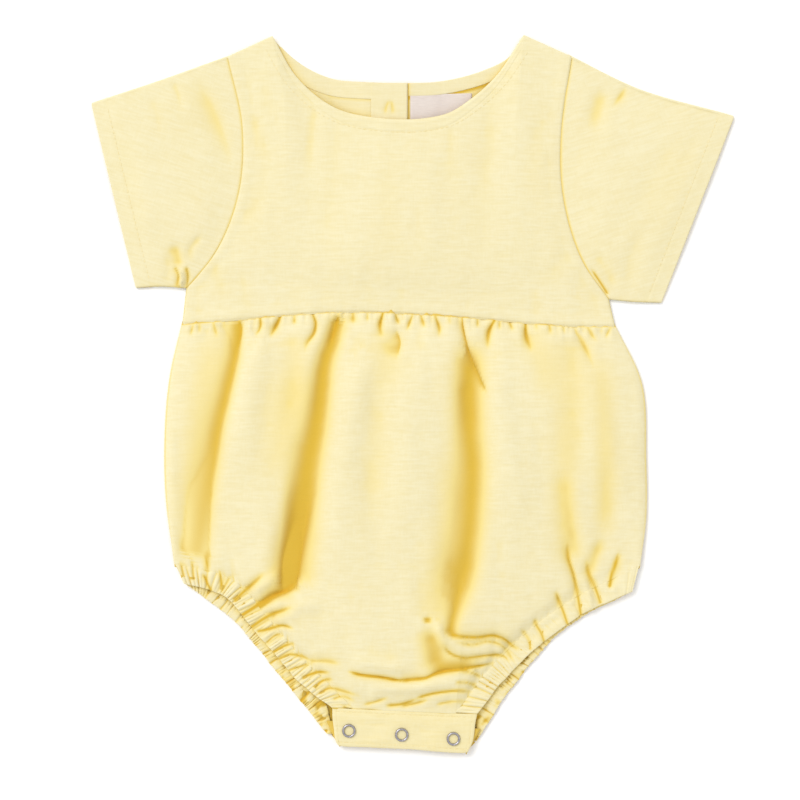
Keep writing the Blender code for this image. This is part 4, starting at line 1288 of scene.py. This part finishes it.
LONG_FOLDS = (
    # the swells between the long folds
    swell((-82, 42), (-90, 0), (-98, -60), left=(7, 12), right=(8, 13), rise=2.2, start=0.2),
    swell((-22, 34), (-30, -20), (-38, -80), (-44, -124), left=(8, 10), right=(8, 13), rise=2.6, start=0.2),
    swell((14, 40), (8, 0), (4, -60), (-4, -120), left=(8, 14), right=(9, 12), rise=1.4),
    swell((54, 26), (62, -30), (66, -90), left=(6, 12), right=(8, 12), rise=2.0, start=0.2),
    swell((112, 20), (122, -20), (126, -70), left=(7, 9), right=(7, 8), rise=1.2),
    # the soft hollows between them
    hollow((-78, 30), (-80, -10), (-86, -60), left=(6, 8), right=(5, 7), depth=0.8, start=0.4, tint=0.12),
    hollow((-14, 22), (-14, -30), (-16, -92), left=(6, 9), right=(6, 8), depth=0.9, tint=0.14),
    hollow(
        (-9, 40), (-8, 20), (-12, -6), left=(9, 8), right=8, depth=0.8, start=0.1, finish=0.6, tint=0.24,
    ),
    hollow((-62, 38), (-63, 10), (-70, -34), left=(8, 7), right=7, depth=0.8, start=0.1, tint=0.2),
    hollow((76, 38), (84, 18), (90, -10), left=7, right=(9, 8), depth=0.8, start=0.1, tint=0.22),
    hollow(
        (102, 36), (102, 0), (100, -30), (98, -64), left=(11, 8), right=(9, 7), depth=1.2, start=0.1,
        finish=0.3, tint=(0.22, 0.36),
    ),
    hollow((97, -40), (99, -66), (103, -104), left=(7, 8), right=(5, 6), depth=1.4, finish=0.2, tint=0.5),
    hollow(
        (118, 30), (121, -10), (122, -60), (120, -96), left=6, right=(7, 6), depth=1.0, start=0.2,
        finish=0.25, tint=(0.25, 0.45),
    ),
    swell((-137, -10), (-137, -50), (-132, -92), wide=4, rise=0.8),
    # the deep fold at the left, with a broad shallow hollow on its outer side
    Fold(
        (-98, 48), (-97.5, 38), (-98.5, 24), (-102, 8), (-108, -16), (-112.6, -40), (-116.5, -62),
        (-120, -84), (-123.5, -102), left=(6, 10), right=(2.4, 6.5), depth=(4.0, 4.6), sharp=(1.8, 1.9),
        start=0.05, finish=0.06, tint=(1.0, 0.7),
    ),
    hollow(
        (-111, 46), (-114, 24), (-118, 0), (-122, -30), (-126, -60), (-128, -92), left=8, right=(9, 7),
        depth=0.9, start=0.2, finish=0.3, tint=(0.26, 0.36),
    ),
    Fold(
        (-97.2, 48), (-95.8, 38), (-97.5, 26), left=(1.6, 2.5), right=(0.8, 1.0), depth=1.5, start=0.4,
        finish=0.5, tint=0.7, crease_shade=0.5,
    ),
    Fold((-90, 47), (-90, 38), (-86, 31), left=(1.2, 2.0), right=(1.1, 1.6), depth=-1.6, finish=0.6),
    Fold(
        (-84, 46.5), (-84, 40), (-87.5, 33), left=(1.2, 1.6), right=(1.1, 1.6), depth=2.0, finish=0.6,
        tint=0.5, crease_shade=0.4,
    ),
    # the deep fold left of the middle, which opens into a flat trough under its right-hand lip
    Fold(
        (-36, 51), (-40.5, 34), (-45, 20), (-48, 0), (-51, -20), (-55, -40), (-58, -60), (-60.5, -80),
        (-63.8, -100), (-66, -119), left=(4, 12.3), right=(4.5, 11.5), depth=(4.5, 6.0), sharp=(1.9, 3),
        start=0.06, finish=0.08, tint=1,
    ),
    Fold(
        (-58, 26), (-62, 0), (-67, -30), (-74, -66), left=(12, 11), right=(9, 8), depth=0.8, sharp=3,
        start=0.3, finish=0.4, tint=0.3,
    ),
    Fold(
        (-56, -42), (-59.2, -76), (-63, -100), (-65.5, -119), left=(10, 7), right=(6.5, 6),
        depth=(1.0, 4.5), sharp=(2.6, 6), start=0.45, finish=0.09, lean=(0, 3.0), tint=(0.9, 1.0),
    ),
    Fold(
        (-88, -130), (-82, -125.8), (-75.5, -120.8), (-69, -117), (-63, -113), left=(1.2, 2.4),
        right=(3.4, 8), depth=(1.2, 3.6), sharp=(1.8, 2.4), finish=0.1, tint=(0.9, 1.0), crease_shade=0.3,
    ),
    Fold(
        (-36, 51), (-40, 37), (-43.5, 26), left=(1.4, 2.4), right=(0.8, 1.1), depth=1.6, start=0.4,
        finish=0.5, tint=0.6, crease_shade=0.5,
    ),
    # the short one under the waist, right of its puckers
    Fold(
        (-4, 40), (-0.5, 32), (-4, 18), left=(4, 9), right=(1.2, 1.8), depth=2.2, start=0.3, finish=0.45,
        lean=0.8, tint=0.3,
    ),
    # the deep fold right of the middle: a short lip over its top, then a long soft hollow
    Fold(
        (36.5, 51), (38, 38), (41.5, 24), (46.5, 12), (52, -1), left=3, right=(1.0, 1.4), depth=(3.6, 2.4),
        sharp=1.5, finish=0.15, lean=1, tint=(0.65, 0.2), crease_shade=0.35,
    ),
    Fold(
        (38, 36), (40.5, 21), (40.5, 8), (40.5, -6), (41, -22), (42.5, -42), (42, -62), (40.5, -82),
        (37.8, -101), (33.8, -121), (30.5, -140), left=(7.5, 12), right=8, depth=(4.0, 4.6),
        sharp=(2.1, 2.0), start=0.12, finish=0.22, tint=(1.0, 0.95),
    ),
    Fold(
        (39.5, -84), (36.5, -104), (33, -124), (30, -138), (28.5, -146), left=(10, 3), right=(7, 3.4),
        depth=(1.6, 3.2), sharp=(2, 1.8), start=0.6, finish=0.08, tint=(0.8, 0.95),
    ),
    Fold(
        (39.5, 14), (40, 2), (41, -12), (42, -30), left=6, right=5, depth=1.4, sharp=2.2, start=0.3,
        finish=0.5, tint=0.35,
    ),
    Fold(
        (30, -20), (32, -60), (27, -100), (19, -140), left=(10, 12), right=6, depth=1.0, sharp=2.4,
        start=0.3, finish=0.1, tint=(0.25, 0.3),
    ),
)
CROTCH_FOLDS = (
    # above the band on the right, where the deep fold ends
    hollow((15.7, -131.5), (16, -137.5), wide=2.2, depth=1.4, start=0.4, finish=0.4, tint=0.9),
    hollow((10, -138), (18, -147), (27, -158), left=(6, 8), right=(6, 7), depth=0.5, finish=0.3, tint=0.45),
    swell((21, -134), (24, -146), (29, -155), left=(2.5, 3), right=(3, 3.5), rise=2.2),
    hollow(
        (17.5, -139), (18.5, -151), (23, -165), left=(3, 9), right=(3, 7), depth=(1.2, 2.0), finish=0.3,
        tint=(0.35, 0.8),
    ),
    Fold(
        (27, -143.5), (36, -144.8), (46, -145.2), (56, -144.4), (62, -146.5), (66, -150), (73, -154.5),
        left=(1.6, 1.4), right=(4, 1.8), depth=2.2, sharp=1.5, start=0.1, finish=0.2, lean=1.0, tint=0.75,
        crease_shade=0.42,
    ),
    Fold(
        (30, -147.6), (44, -149.4), (52, -147.8), (59.5, -149.9), (65.5, -156.4), (69, -162),
        left=(1.3, 1.2), right=(1.5, 1.4), depth=1.2, sharp=1.5, start=0.2, finish=0.2, tint=0.4,
        crease_shade=0.3,
    ),
    Fold(
        (24, -148), (29.5, -154.4), (37, -157.2), (46, -156.7), (55, -156), (60.5, -156.5), (67, -161.5),
        left=(1.4, 1.3), right=(2.4, 1.6), depth=1.8, sharp=1.5, start=0.2, finish=0.2, lean=0.6, tint=0.55,
        crease_shade=0.48,
    ),
    hollow(
        (14, -166), (24, -164.6), (36, -162.6), (50, -160.4), left=(3, 2), right=(8, 3), depth=2,
        finish=0.4, tint=1.0,
    ),
    Fold(
        (-2, -171), (8, -170.2), (14.5, -169.4), (20.5, -166.9), (26.5, -165.2), (34, -164.4), (43, -163),
        (58, -160.3), left=(1.4, 1.2), right=(3, 1.6), depth=2, start=0.1, finish=0.2, lean=0.8, tint=0.8,
        crease_shade=0.6,
    ),
    # above the band on the left
    Fold(
        (-56, -159.8), (-45, -159.4), (-33, -161.5), left=2, right=3, depth=1.2, start=0.2, finish=0.4,
        tint=0.4, crease_shade=0.18,
    ),
    Fold(
        (-33, -164.8), (-24.5, -167.1), (-11, -168.8), (-3.5, -170.2), (6, -171.2), left=(1.6, 1.3),
        right=(1.3, 1.2), depth=2.4, start=0.2, finish=0.3, lean=0.5, tint=0.95, crease_shade=0.78,
    ),
    swell((-30, -158), (-8, -163), (10, -164), left=3, right=(5, 4), rise=1.6),
    swell((-20, -173.5), (0, -176), (18, -173.5), (44, -170), left=3, right=(2, 3), rise=1.3, start=0.2),
    Fold(
        (-60, -170), (-57.5, -169.2), (-50, -166.4), (-40, -166.6), left=(1.2, 1.3), right=1.2, depth=1.5,
        start=0.1, tint=0.7, crease_shade=0.54,
    ),
    Fold(
        (-52, -176.5), (-47, -171.8), (-39, -169.8), left=(1.2, 1.3), right=(1, 1.2), depth=1.4, start=0.1,
        tint=0.6, crease_shade=0.48,
    ),
    Fold(
        (-50, -180), (-43, -176.3), (-33.5, -177.6), (-22, -181.2), left=(1.2, 1.6), right=1.2, depth=1.2,
        start=0.1, tint=0.5, crease_shade=0.36,
    ),
    Fold(
        (-42, -183.2), (-35, -181), (-25, -184.5), wide=(1.1, 1.2), depth=1.3, start=0.2, tint=0.4,
        crease_shade=0.24,
    ),
    # close above the band
    Fold(
        (-10, -186.2), (-0.5, -185.4), (5.5, -183.6), (12, -180.4), left=1.2, right=(1.2, 1.3), depth=1.3,
        start=0.2, tint=0.55, crease_shade=0.54,
    ),
    Fold((-1, -187), (8, -185), (19, -181.6), wide=(1.1, 1.2), depth=1.4, start=0.2, tint=0.4, crease_shade=0.3),
    Fold(
        (8, -182), (17.5, -179.1), (26.5, -177.6), (34, -177), (45, -178.8), left=(1.2, 1.3), right=1.4,
        depth=1.5, start=0.15, finish=0.25, tint=0.6, crease_shade=0.54,
    ),
    Fold((31, -172), (40, -172.4), (48, -177), wide=(1.1, 1.2), depth=1.4, start=0.2, tint=0.4, crease_shade=0.3),
    Fold(
        (35, -164.9), (43, -166.8), (50, -170.3), wide=(1.1, 1.2), depth=1.4, start=0.2, tint=0.4,
        crease_shade=0.3,
    ),
    Fold(
        (20, -185.6), (32, -183.6), (45, -184.8), wide=(1.1, 1.2), depth=1.2, start=0.2, tint=0.35,
        crease_shade=0.24,
    ),
    Fold(
        (-24, -186.2), (-16, -184), (-6, -180.5), wide=(1.1, 1.2), depth=1.2, start=0.3, tint=0.35,
        crease_shade=0.18,
    ),
    Fold(
        (-36, -187.2), (-28, -189), (-10, -189.2), left=1, right=1.2, depth=1.4, start=0.1, tint=0.5,
        crease_shade=0.42,
    ),
)
LEG_FOLDS = (
    # into the left casing
    Fold(
        (-116, -92), (-116, -107), left=(1.8, 1.3), right=(1.4, 1.2), depth=2.2, start=0.4, finish=0.1,
        tint=0.85, crease_shade=0.18,
    ),
    Fold(
        (-119, -106), (-113, -119), wide=(1.3, 1.2), depth=1.6, start=0.3, finish=0.1, tint=0.8, crease_shade=0.3,
    ),
    Fold((-108.5, -103), (-107, -118), wide=1.1, depth=1.4, start=0.4, finish=0.1, tint=0.6, crease_shade=0.42),
    Fold((-107, -118), (-101, -107), left=(1.3, 2), right=(1.3, 1.6), depth=1.5, tint=0.5, crease_shade=0.24),
    Fold(
        (-99, -123), (-92, -116.5), (-86, -111.3), (-80, -104.5), left=(1.6, 3), right=(1.6, 2.5),
        depth=2.6, finish=0.6, tint=0.8, crease_shade=0.3,
    ),
    Fold(
        (-96, -133), (-87.5, -127.4), (-81.5, -123.6), (-75.5, -120), (-68, -117.8), (-60, -115.5),
        left=(1.6, 4), right=(1.2, 1.4), depth=3.8, finish=0.25, tint=0.9, crease_shade=0.54,
    ),
    Fold(
        (-90, -140), (-81.5, -134.1), (-75.5, -131), (-69.5, -128.8), (-60, -125.5), left=(1.6, 3.5),
        right=(1.4, 2.4), depth=3.0, finish=0.5, tint=0.8, crease_shade=0.36,
    ),
    Fold(
        (-85, -142), (-77, -140), (-71, -138.3), (-62, -141), left=(1.3, 1.5), right=(1.3, 1.4), depth=2.2,
        tint=0.7, crease_shade=0.42,
    ),
    Fold((-80, -148.5), (-75, -144.5), (-70, -143), wide=(1.1, 1.4), depth=1.7, tint=0.6, crease_shade=0.3),
    Fold(
        (-77, -155), (-71, -151.4), (-62, -148.4), left=(1.1, 1.5), right=(1.1, 1.4), depth=1.9, tint=0.6,
        crease_shade=0.42,
    ),
    Fold(
        (-74, -159), (-66.5, -155.9), (-60.5, -156.6), (-52, -160), wide=(1.1, 1.4), depth=1.8, tint=0.6,
        crease_shade=0.36,
    ),
    Fold(
        (-69, -166.5), (-63.5, -164.1), (-52, -160.8), left=(1.1, 1.3), right=(1.0, 1.3), depth=1.6,
        tint=0.5, crease_shade=0.36,
    ),
    Fold((-125, -97), (-124, -112), wide=1.1, depth=1.3, start=0.4, finish=0.1, tint=0.5, crease_shade=0.3),
    Fold((-132, -98), (-130, -110), wide=1.1, depth=1.2, start=0.4, finish=0.1, tint=0.5, crease_shade=0.3),
    swell((-90, -118), (-74, -108), (-68, -100), wide=(3, 4), rise=1.6, start=0.2),
    swell((-72, -134), (-58, -126), (-44, -128), left=(4, 5), right=(3, 4), rise=1.4, start=0.2),
    # into the right casing
    Fold(
        (99, -86), (100.5, -99.6), (103, -107.1), (105.1, -116.1), (106.9, -126.6), (108, -134),
        left=(4, 1.4), right=(1.6, 1.2), depth=2.6, start=0.3, finish=0.03, tint=(0.35, 0.6), crease_shade=0.48,
    ),
    hollow(
        (121, -84), (116, -96), (113, -110), left=(3, 4), right=(4.5, 2.5), depth=1.2, start=0.4,
        finish=0.3, tint=0.5,
    ),
    Fold(
        (110, -96), (112.8, -108.6), (115.8, -114.6), (119.8, -126), left=(4, 1.3), right=(2.4, 1.2),
        depth=2.2, start=0.4, finish=0.03, tint=0.5, crease_shade=0.48,
    ),
    Fold(
        (131, -92), (128.5, -101.1), (126.1, -108.6), (124.6, -117), left=(1.6, 1.2), right=(3.0, 1.4),
        depth=2.4, start=0.4, finish=0.1, tint=0.75, crease_shade=0.48,
    ),
    Fold(
        (92, -116), (94.8, -124.2), (97, -129.6), (99.8, -138), left=(2.4, 1.2), right=(1.4, 1.2),
        depth=2.0, start=0.3, finish=0.03, tint=0.5, crease_shade=0.48,
    ),
    Fold(
        (79, -133), (81.5, -139), (83.5, -142.2), (86, -149), left=(1.6, 1.2), right=(1.4, 1.2), depth=1.8,
        start=0.3, finish=0.03, tint=0.5, crease_shade=0.42,
    ),
    Fold(
        (70, -139), (76, -146), (78, -154), wide=(1.6, 1.2), depth=1.3, start=0.4, finish=0.1, tint=0.35,
        crease_shade=0.24,
    ),
    swell((108, -106), (112, -118), (114, -130), wide=2, rise=1.4, start=0.4, finish=0.1),
)


def climb(t):
    """How far the skirt's lower edge has climbed from the casings on to the band, without a step."""
    down_again = smooth_step(t, 0.97 - LEG_SHARE, 1.05 - LEG_SHARE)
    return smooth_step(t, LEG_SHARE - 0.05, LEG_SHARE + 0.03) * (1 - down_again)


def make_front_skirt():
    edge = skirt_lower(FRONT_INNER_LEFT, FRONT_INNER_RIGHT, BAND_TOP)

    def lower(t):
        places = edge(t)
        places[..., 2] = FRONT_CASING_Z + (BAND_TOP(t)[..., 2] - FRONT_CASING_Z) * climb(t)
        return places

    panel = between(lower, WAIST, SKIRT_SIDE_LEFT, SKIRT_SIDE_RIGHT)

    def at(across, up):
        places = panel(across, up)
        inside = np.clip(4 * across * (1 - across), 0, 1) ** 0.5 * np.clip(4 * up * (1 - up), 0, 1) ** 0.6
        places[:, 2] += SKIRT_RISE * inside * smooth_step(up, 0, 0.06) ** 0.5
        return places

    rows = crowded(128, (0, 3.4), (0.03, 2.6), (0.2, 1.9), (0.3, 1), (0.9, 1), (0.96, 2.8), (1, 3.4))
    places = laid_out(at, 348, rows)
    rest_height = places[..., 2].copy()
    from_side = np.minimum(from_edge(places, "left"), from_edge(places, "right"))
    from_waist, from_lower = from_edge(places, "top"), from_edge(places, "bottom")
    x, y = places[..., 0].copy(), places[..., 1].copy()
    places = pressed(places, LONG_FOLDS + CROTCH_FOLDS + LEG_FOLDS + WAIST_GATHERS)
    free = 0.25 + 0.75 * (1 - fading(from_waist, 4))
    places[..., 2] = rest_height + free * (places[..., 2] - rest_height)

    ripple = drift(x, 0.3 * from_waist, 2.6, 7, 81) + 0.6 * drift(x, 0.3 * from_waist, 1.5, 5, 82)
    lumps = drift(x, 0.2 * from_waist, 5.5, 6, 83)
    places[..., 2] += 1.0 * ripple * fading(from_waist, 5.5, 1.3) + 0.9 * lumps * fading(from_waist, 11, 1.5)
    t = np.linspace(0, 1, places.shape[1])[None, :] + 0 * x
    leg_t = np.where(t < 0.5, t / LEG_SHARE, (t - 1 + LEG_SHARE) / LEG_SHARE)
    on_leg = smooth_step(np.abs(t - 0.5), 0.5 - LEG_SHARE - 0.02, 0.5 - LEG_SHARE + 0.02)
    drawn_up = np.where(t < 0.5, drawn_up_alike(leg_t), drawn_up_at_band(leg_t))
    run = FRONT_CASING_LENGTH * leg_t
    pleat = np.where(t < 0.5, *(pleats(run, LEG_PITCHES[0], seed) for seed in LEG_SEEDS))
    pleat *= on_leg * drawn_up * fading(from_lower, 3.2, 1.3)
    places[..., 2] += LEG_PLEAT_DEPTHS[0] * pleat
    # Painted shade in the hollows of the leg pleats.
    with_painted_shade(places, np.clip(-0.9 * pleat, 0, 0.6))
    off_seam = 1 - fading(from_lower, 4)
    by_leg = off_seam * drawn_up * smooth_step(np.abs(t - 0.5), 0.03, 0.15)
    places[..., 2] += by_leg * drift(run, 0.2 * from_lower, 6.5, 9, 86) * fading(from_lower, 17, 1.6)
    uneven = 0.6 * drift(x, y, 26, 48, 87) + 0.35 * drift(x + 0.1 * y, y, 8, 30, 88)
    places[..., 2] += off_seam * (uneven + 0.14 * drift(x, y, 6, 6, 89))
    by_corner = fading(np.abs(t - 0.5) - 0.5 + LEG_SHARE, 0.03) * fading(from_lower, 25, 1)
    places[..., 2] += by_corner * (smoothed(places[..., 2], 30) - places[..., 2])

    kept = smooth_step(from_side, 0, 6)
    places[..., 2] = rest_height + kept * (places[..., 2] - rest_height)
    held_above(places, 1.3 + 1.9 * smooth_step(from_side, 2, 14))
    # No painted shade at the side seams, and painted shade along the waist seam.
    places[..., 3] *= smooth_step(from_side, 0, 3)
    with_painted_shade(places, 0.85 * fading(from_waist, 0.8))
    drawn_down(places, "top", 0.6, 0.8)
    places = tucked(tucked(places, "top", 1.8, 0.7), "bottom", 1.8, 0.6)
    places = turned_under(turned_under(places, "left", 0.45), "right", 0.45)
    held_above(places, TABLE_Z)
    sew("front_skirt", places, YELLOW, rests_on=["back_skirt"])


make_front_skirt()

# ---------------------------------------------------------------- front leg casings
# The front legs' channels of elastic are sewn to the skirt's lower edge and lie over the back ones.
# They are drawn up tighter, so their pleats are closer and stand higher.

CASING_LOWEST = 2.9  # they rest on the back ones


def make_front_casings():
    for name, leg, inner, seed, pleated, band_end in (
        ("front_casing_left", FRONT_LEG_LEFT, FRONT_INNER_LEFT, LEG_SEEDS[0], drawn_up_alike, "right"),
        ("front_casing_right", FRONT_LEG_RIGHT, FRONT_INNER_RIGHT, LEG_SEEDS[1], drawn_up_at_band, "left"),
    ):
        places = ruched(leg, inner, FRONT_CASING_LENGTH, LEG_PITCHES, LEG_PLEAT_DEPTHS, seed, 0.35, pleated)
        t = np.linspace(0, LEG_SHARE, places.shape[1])
        t = t if name.endswith("left") else 1 - t[::-1]
        places[..., 2] += (BAND_TOP(t)[:, 2] - FRONT_CASING_Z) * climb(t)
        places = pressed(places, CROTCH_FOLDS + LEG_FOLDS)
        places = tucked(held_above(places, CASING_LOWEST), band_end, 2.5, 0.8)
        make_casing(name, places, ["back_" + name.removeprefix("front_"), "back_skirt"], 0.4)


make_front_casings()

# ---------------------------------------------------------------- front crotch band and snaps
# A band of doubled linen, stitched all round, closes over the back one with three ring snaps.
# The rings' prongs hold them to it, and its cloth shows pale inside them.

FRONT_BAND_Z = 5.3
SNAP_PLACES = ((-31.0, -201.2), (0.5, -203.6), (31.4, -206.0))
BAND_STITCH = 1.8
RING_PROFILE = (
    (2.80, 0.0), (2.70, 0.4), (2.80, 0.85), (3.15, 1.2), (3.5, 1.3), (3.85, 1.1), (4.1, 0.6), (4.15, 0.0),
    (2.80, 0.0),
)
RING_Z = FRONT_BAND_Z + 0.15

SNAP_FOLDS = (
    hollow((-24, -196), (-14, -197.5), (-2, -196.5), wide=2, depth=0.35),
    hollow((7, -199), (16, -201), (26, -199), left=(2, 2.5), right=2, depth=0.35),
    swell((-20, -207), (-12, -206), (-5, -208.5), wide=2, rise=0.3),
)


def make_front_band():
    places = laid_out(strip_between(BAND_BOTTOM, BAND_TOP), 140, 44)
    places[..., 2] = FRONT_BAND_Z
    t, v = np.meshgrid(np.linspace(0, 1, 141), np.linspace(0, 1, 45))
    corner = np.exp(-np.minimum(t, 1 - t) * 42)
    places[..., 1] += (1 - v) * (1.3 * corner + 0.55 * drift(62 * t, 0 * t, 17, 9, 113))
    at_end = 0.5 * drift(22 * v, 0 * t, 8, 9, 114) * corner
    places[..., 0] += (1 - 2 * t) * (1 - v) ** 6 * 1.2 * corner + at_end
    places = pressed(places, SNAP_FOLDS)
    x, y = places[..., 0], places[..., 1]
    places[..., 2] += 0.22 * drift(x, y, 13, 9, 111) + 0.1 * drift(x, y, 4, 4, 112)
    for snap_x, snap_y in SNAP_PLACES:
        away = np.hypot(x - snap_x, y - snap_y)
        places[..., 2] += (FRONT_BAND_Z - places[..., 2] - 0.15) * (1 - smooth_step(away, 3.2, 7.5))
    for edge in ("left", "right", "bottom", "top"):
        away = from_edge(places, edge)
        places[..., 2] -= 0.2 * fading(away - BAND_STITCH, 0.6)
        drawn_down(places, edge, 0.3, 0.7)
    drawn_down(places, "top", 0.6, 3.5)
    # Painted shade: the whole band is painted a little deeper than the skirt.
    with_painted_shade(places, 0.12)
    places = turned_under(turned_under(places, "left", 0.5), "right", 0.5)
    places = turned_under(places, "bottom", 0.5, inside=14)
    band = sew("front_placket", places, YELLOW, rests_on=["back_placket"])
    for row, edge, inward, start in (
        ("bottom", BAND_BOTTOM, 1, 0.02), ("top", BAND_TOP, -1, 0.02),
        ("left", BAND_ENDS[0], -1, 0.05), ("right", BAND_ENDS[1], 1, 0.05),
    ):
        route = stretch(beside(edge, inward * BAND_STITCH), start, 1 - start)
        stitch_row(f"band_stitches_{row}", route, band)


make_front_band()
for number in (1, 2, 3):
    fix_on(f"snap_ring_{number}", RING_PROFILE, STEEL, RING_Z)

# ---------------------------------------------------------------- table, light and camera
# The romper is seen from straight above on a white table, under a wide soft lamp at the upper left.

TABLE_SIZE, TABLE_GAP = 8, 0.0002
CAMERA_PLACE = (-0.0075, -0.0036, 1.333)


def make_lamp(name, place, strength, spread):
    """A far lamp whose light comes evenly from one side. spread is the width it is seen under, in degrees."""
    light = bpy.data.lights.new(name, "SUN")
    light.energy, light.angle = strength, math.radians(spread)
    lamp = bpy.data.objects.new(name, light)
    bpy.context.scene.collection.objects.link(lamp)
    lamp.location = place
    lamp.rotation_euler = (-Vector(place)).to_track_quat("-Z", "Y").to_euler()


def make_table():
    white = (0.97, 0.97, 0.97, 1)
    material, _, _ = start_finish("table_white", 0.7, Specular_IOR_Level=0.1, Base_Color=white)
    bpy.ops.mesh.primitive_plane_add(size=TABLE_SIZE, location=(0, 0, -TABLE_GAP))
    table = bpy.context.object
    table.name = "table"
    table.data.materials.append(material)


make_table()
make_lamp("key", (-1.0, 1.0, 1.5), 1.35, 30)

world = bpy.data.worlds.new("studio")
world.use_nodes = True
background = world.node_tree.nodes["Background"]
background.inputs["Color"].default_value = (1, 1, 1, 1)
background.inputs["Strength"].default_value = 0.90
bpy.context.scene.world = world

view = bpy.data.cameras.new("camera")
view.lens, view.sensor_width = 100, 36
camera = bpy.data.objects.new("camera", view)
bpy.context.scene.collection.objects.link(camera)
camera.location = CAMERA_PLACE
bpy.context.scene.camera = camera
bpy.context.scene.view_settings.view_transform = "Standard"
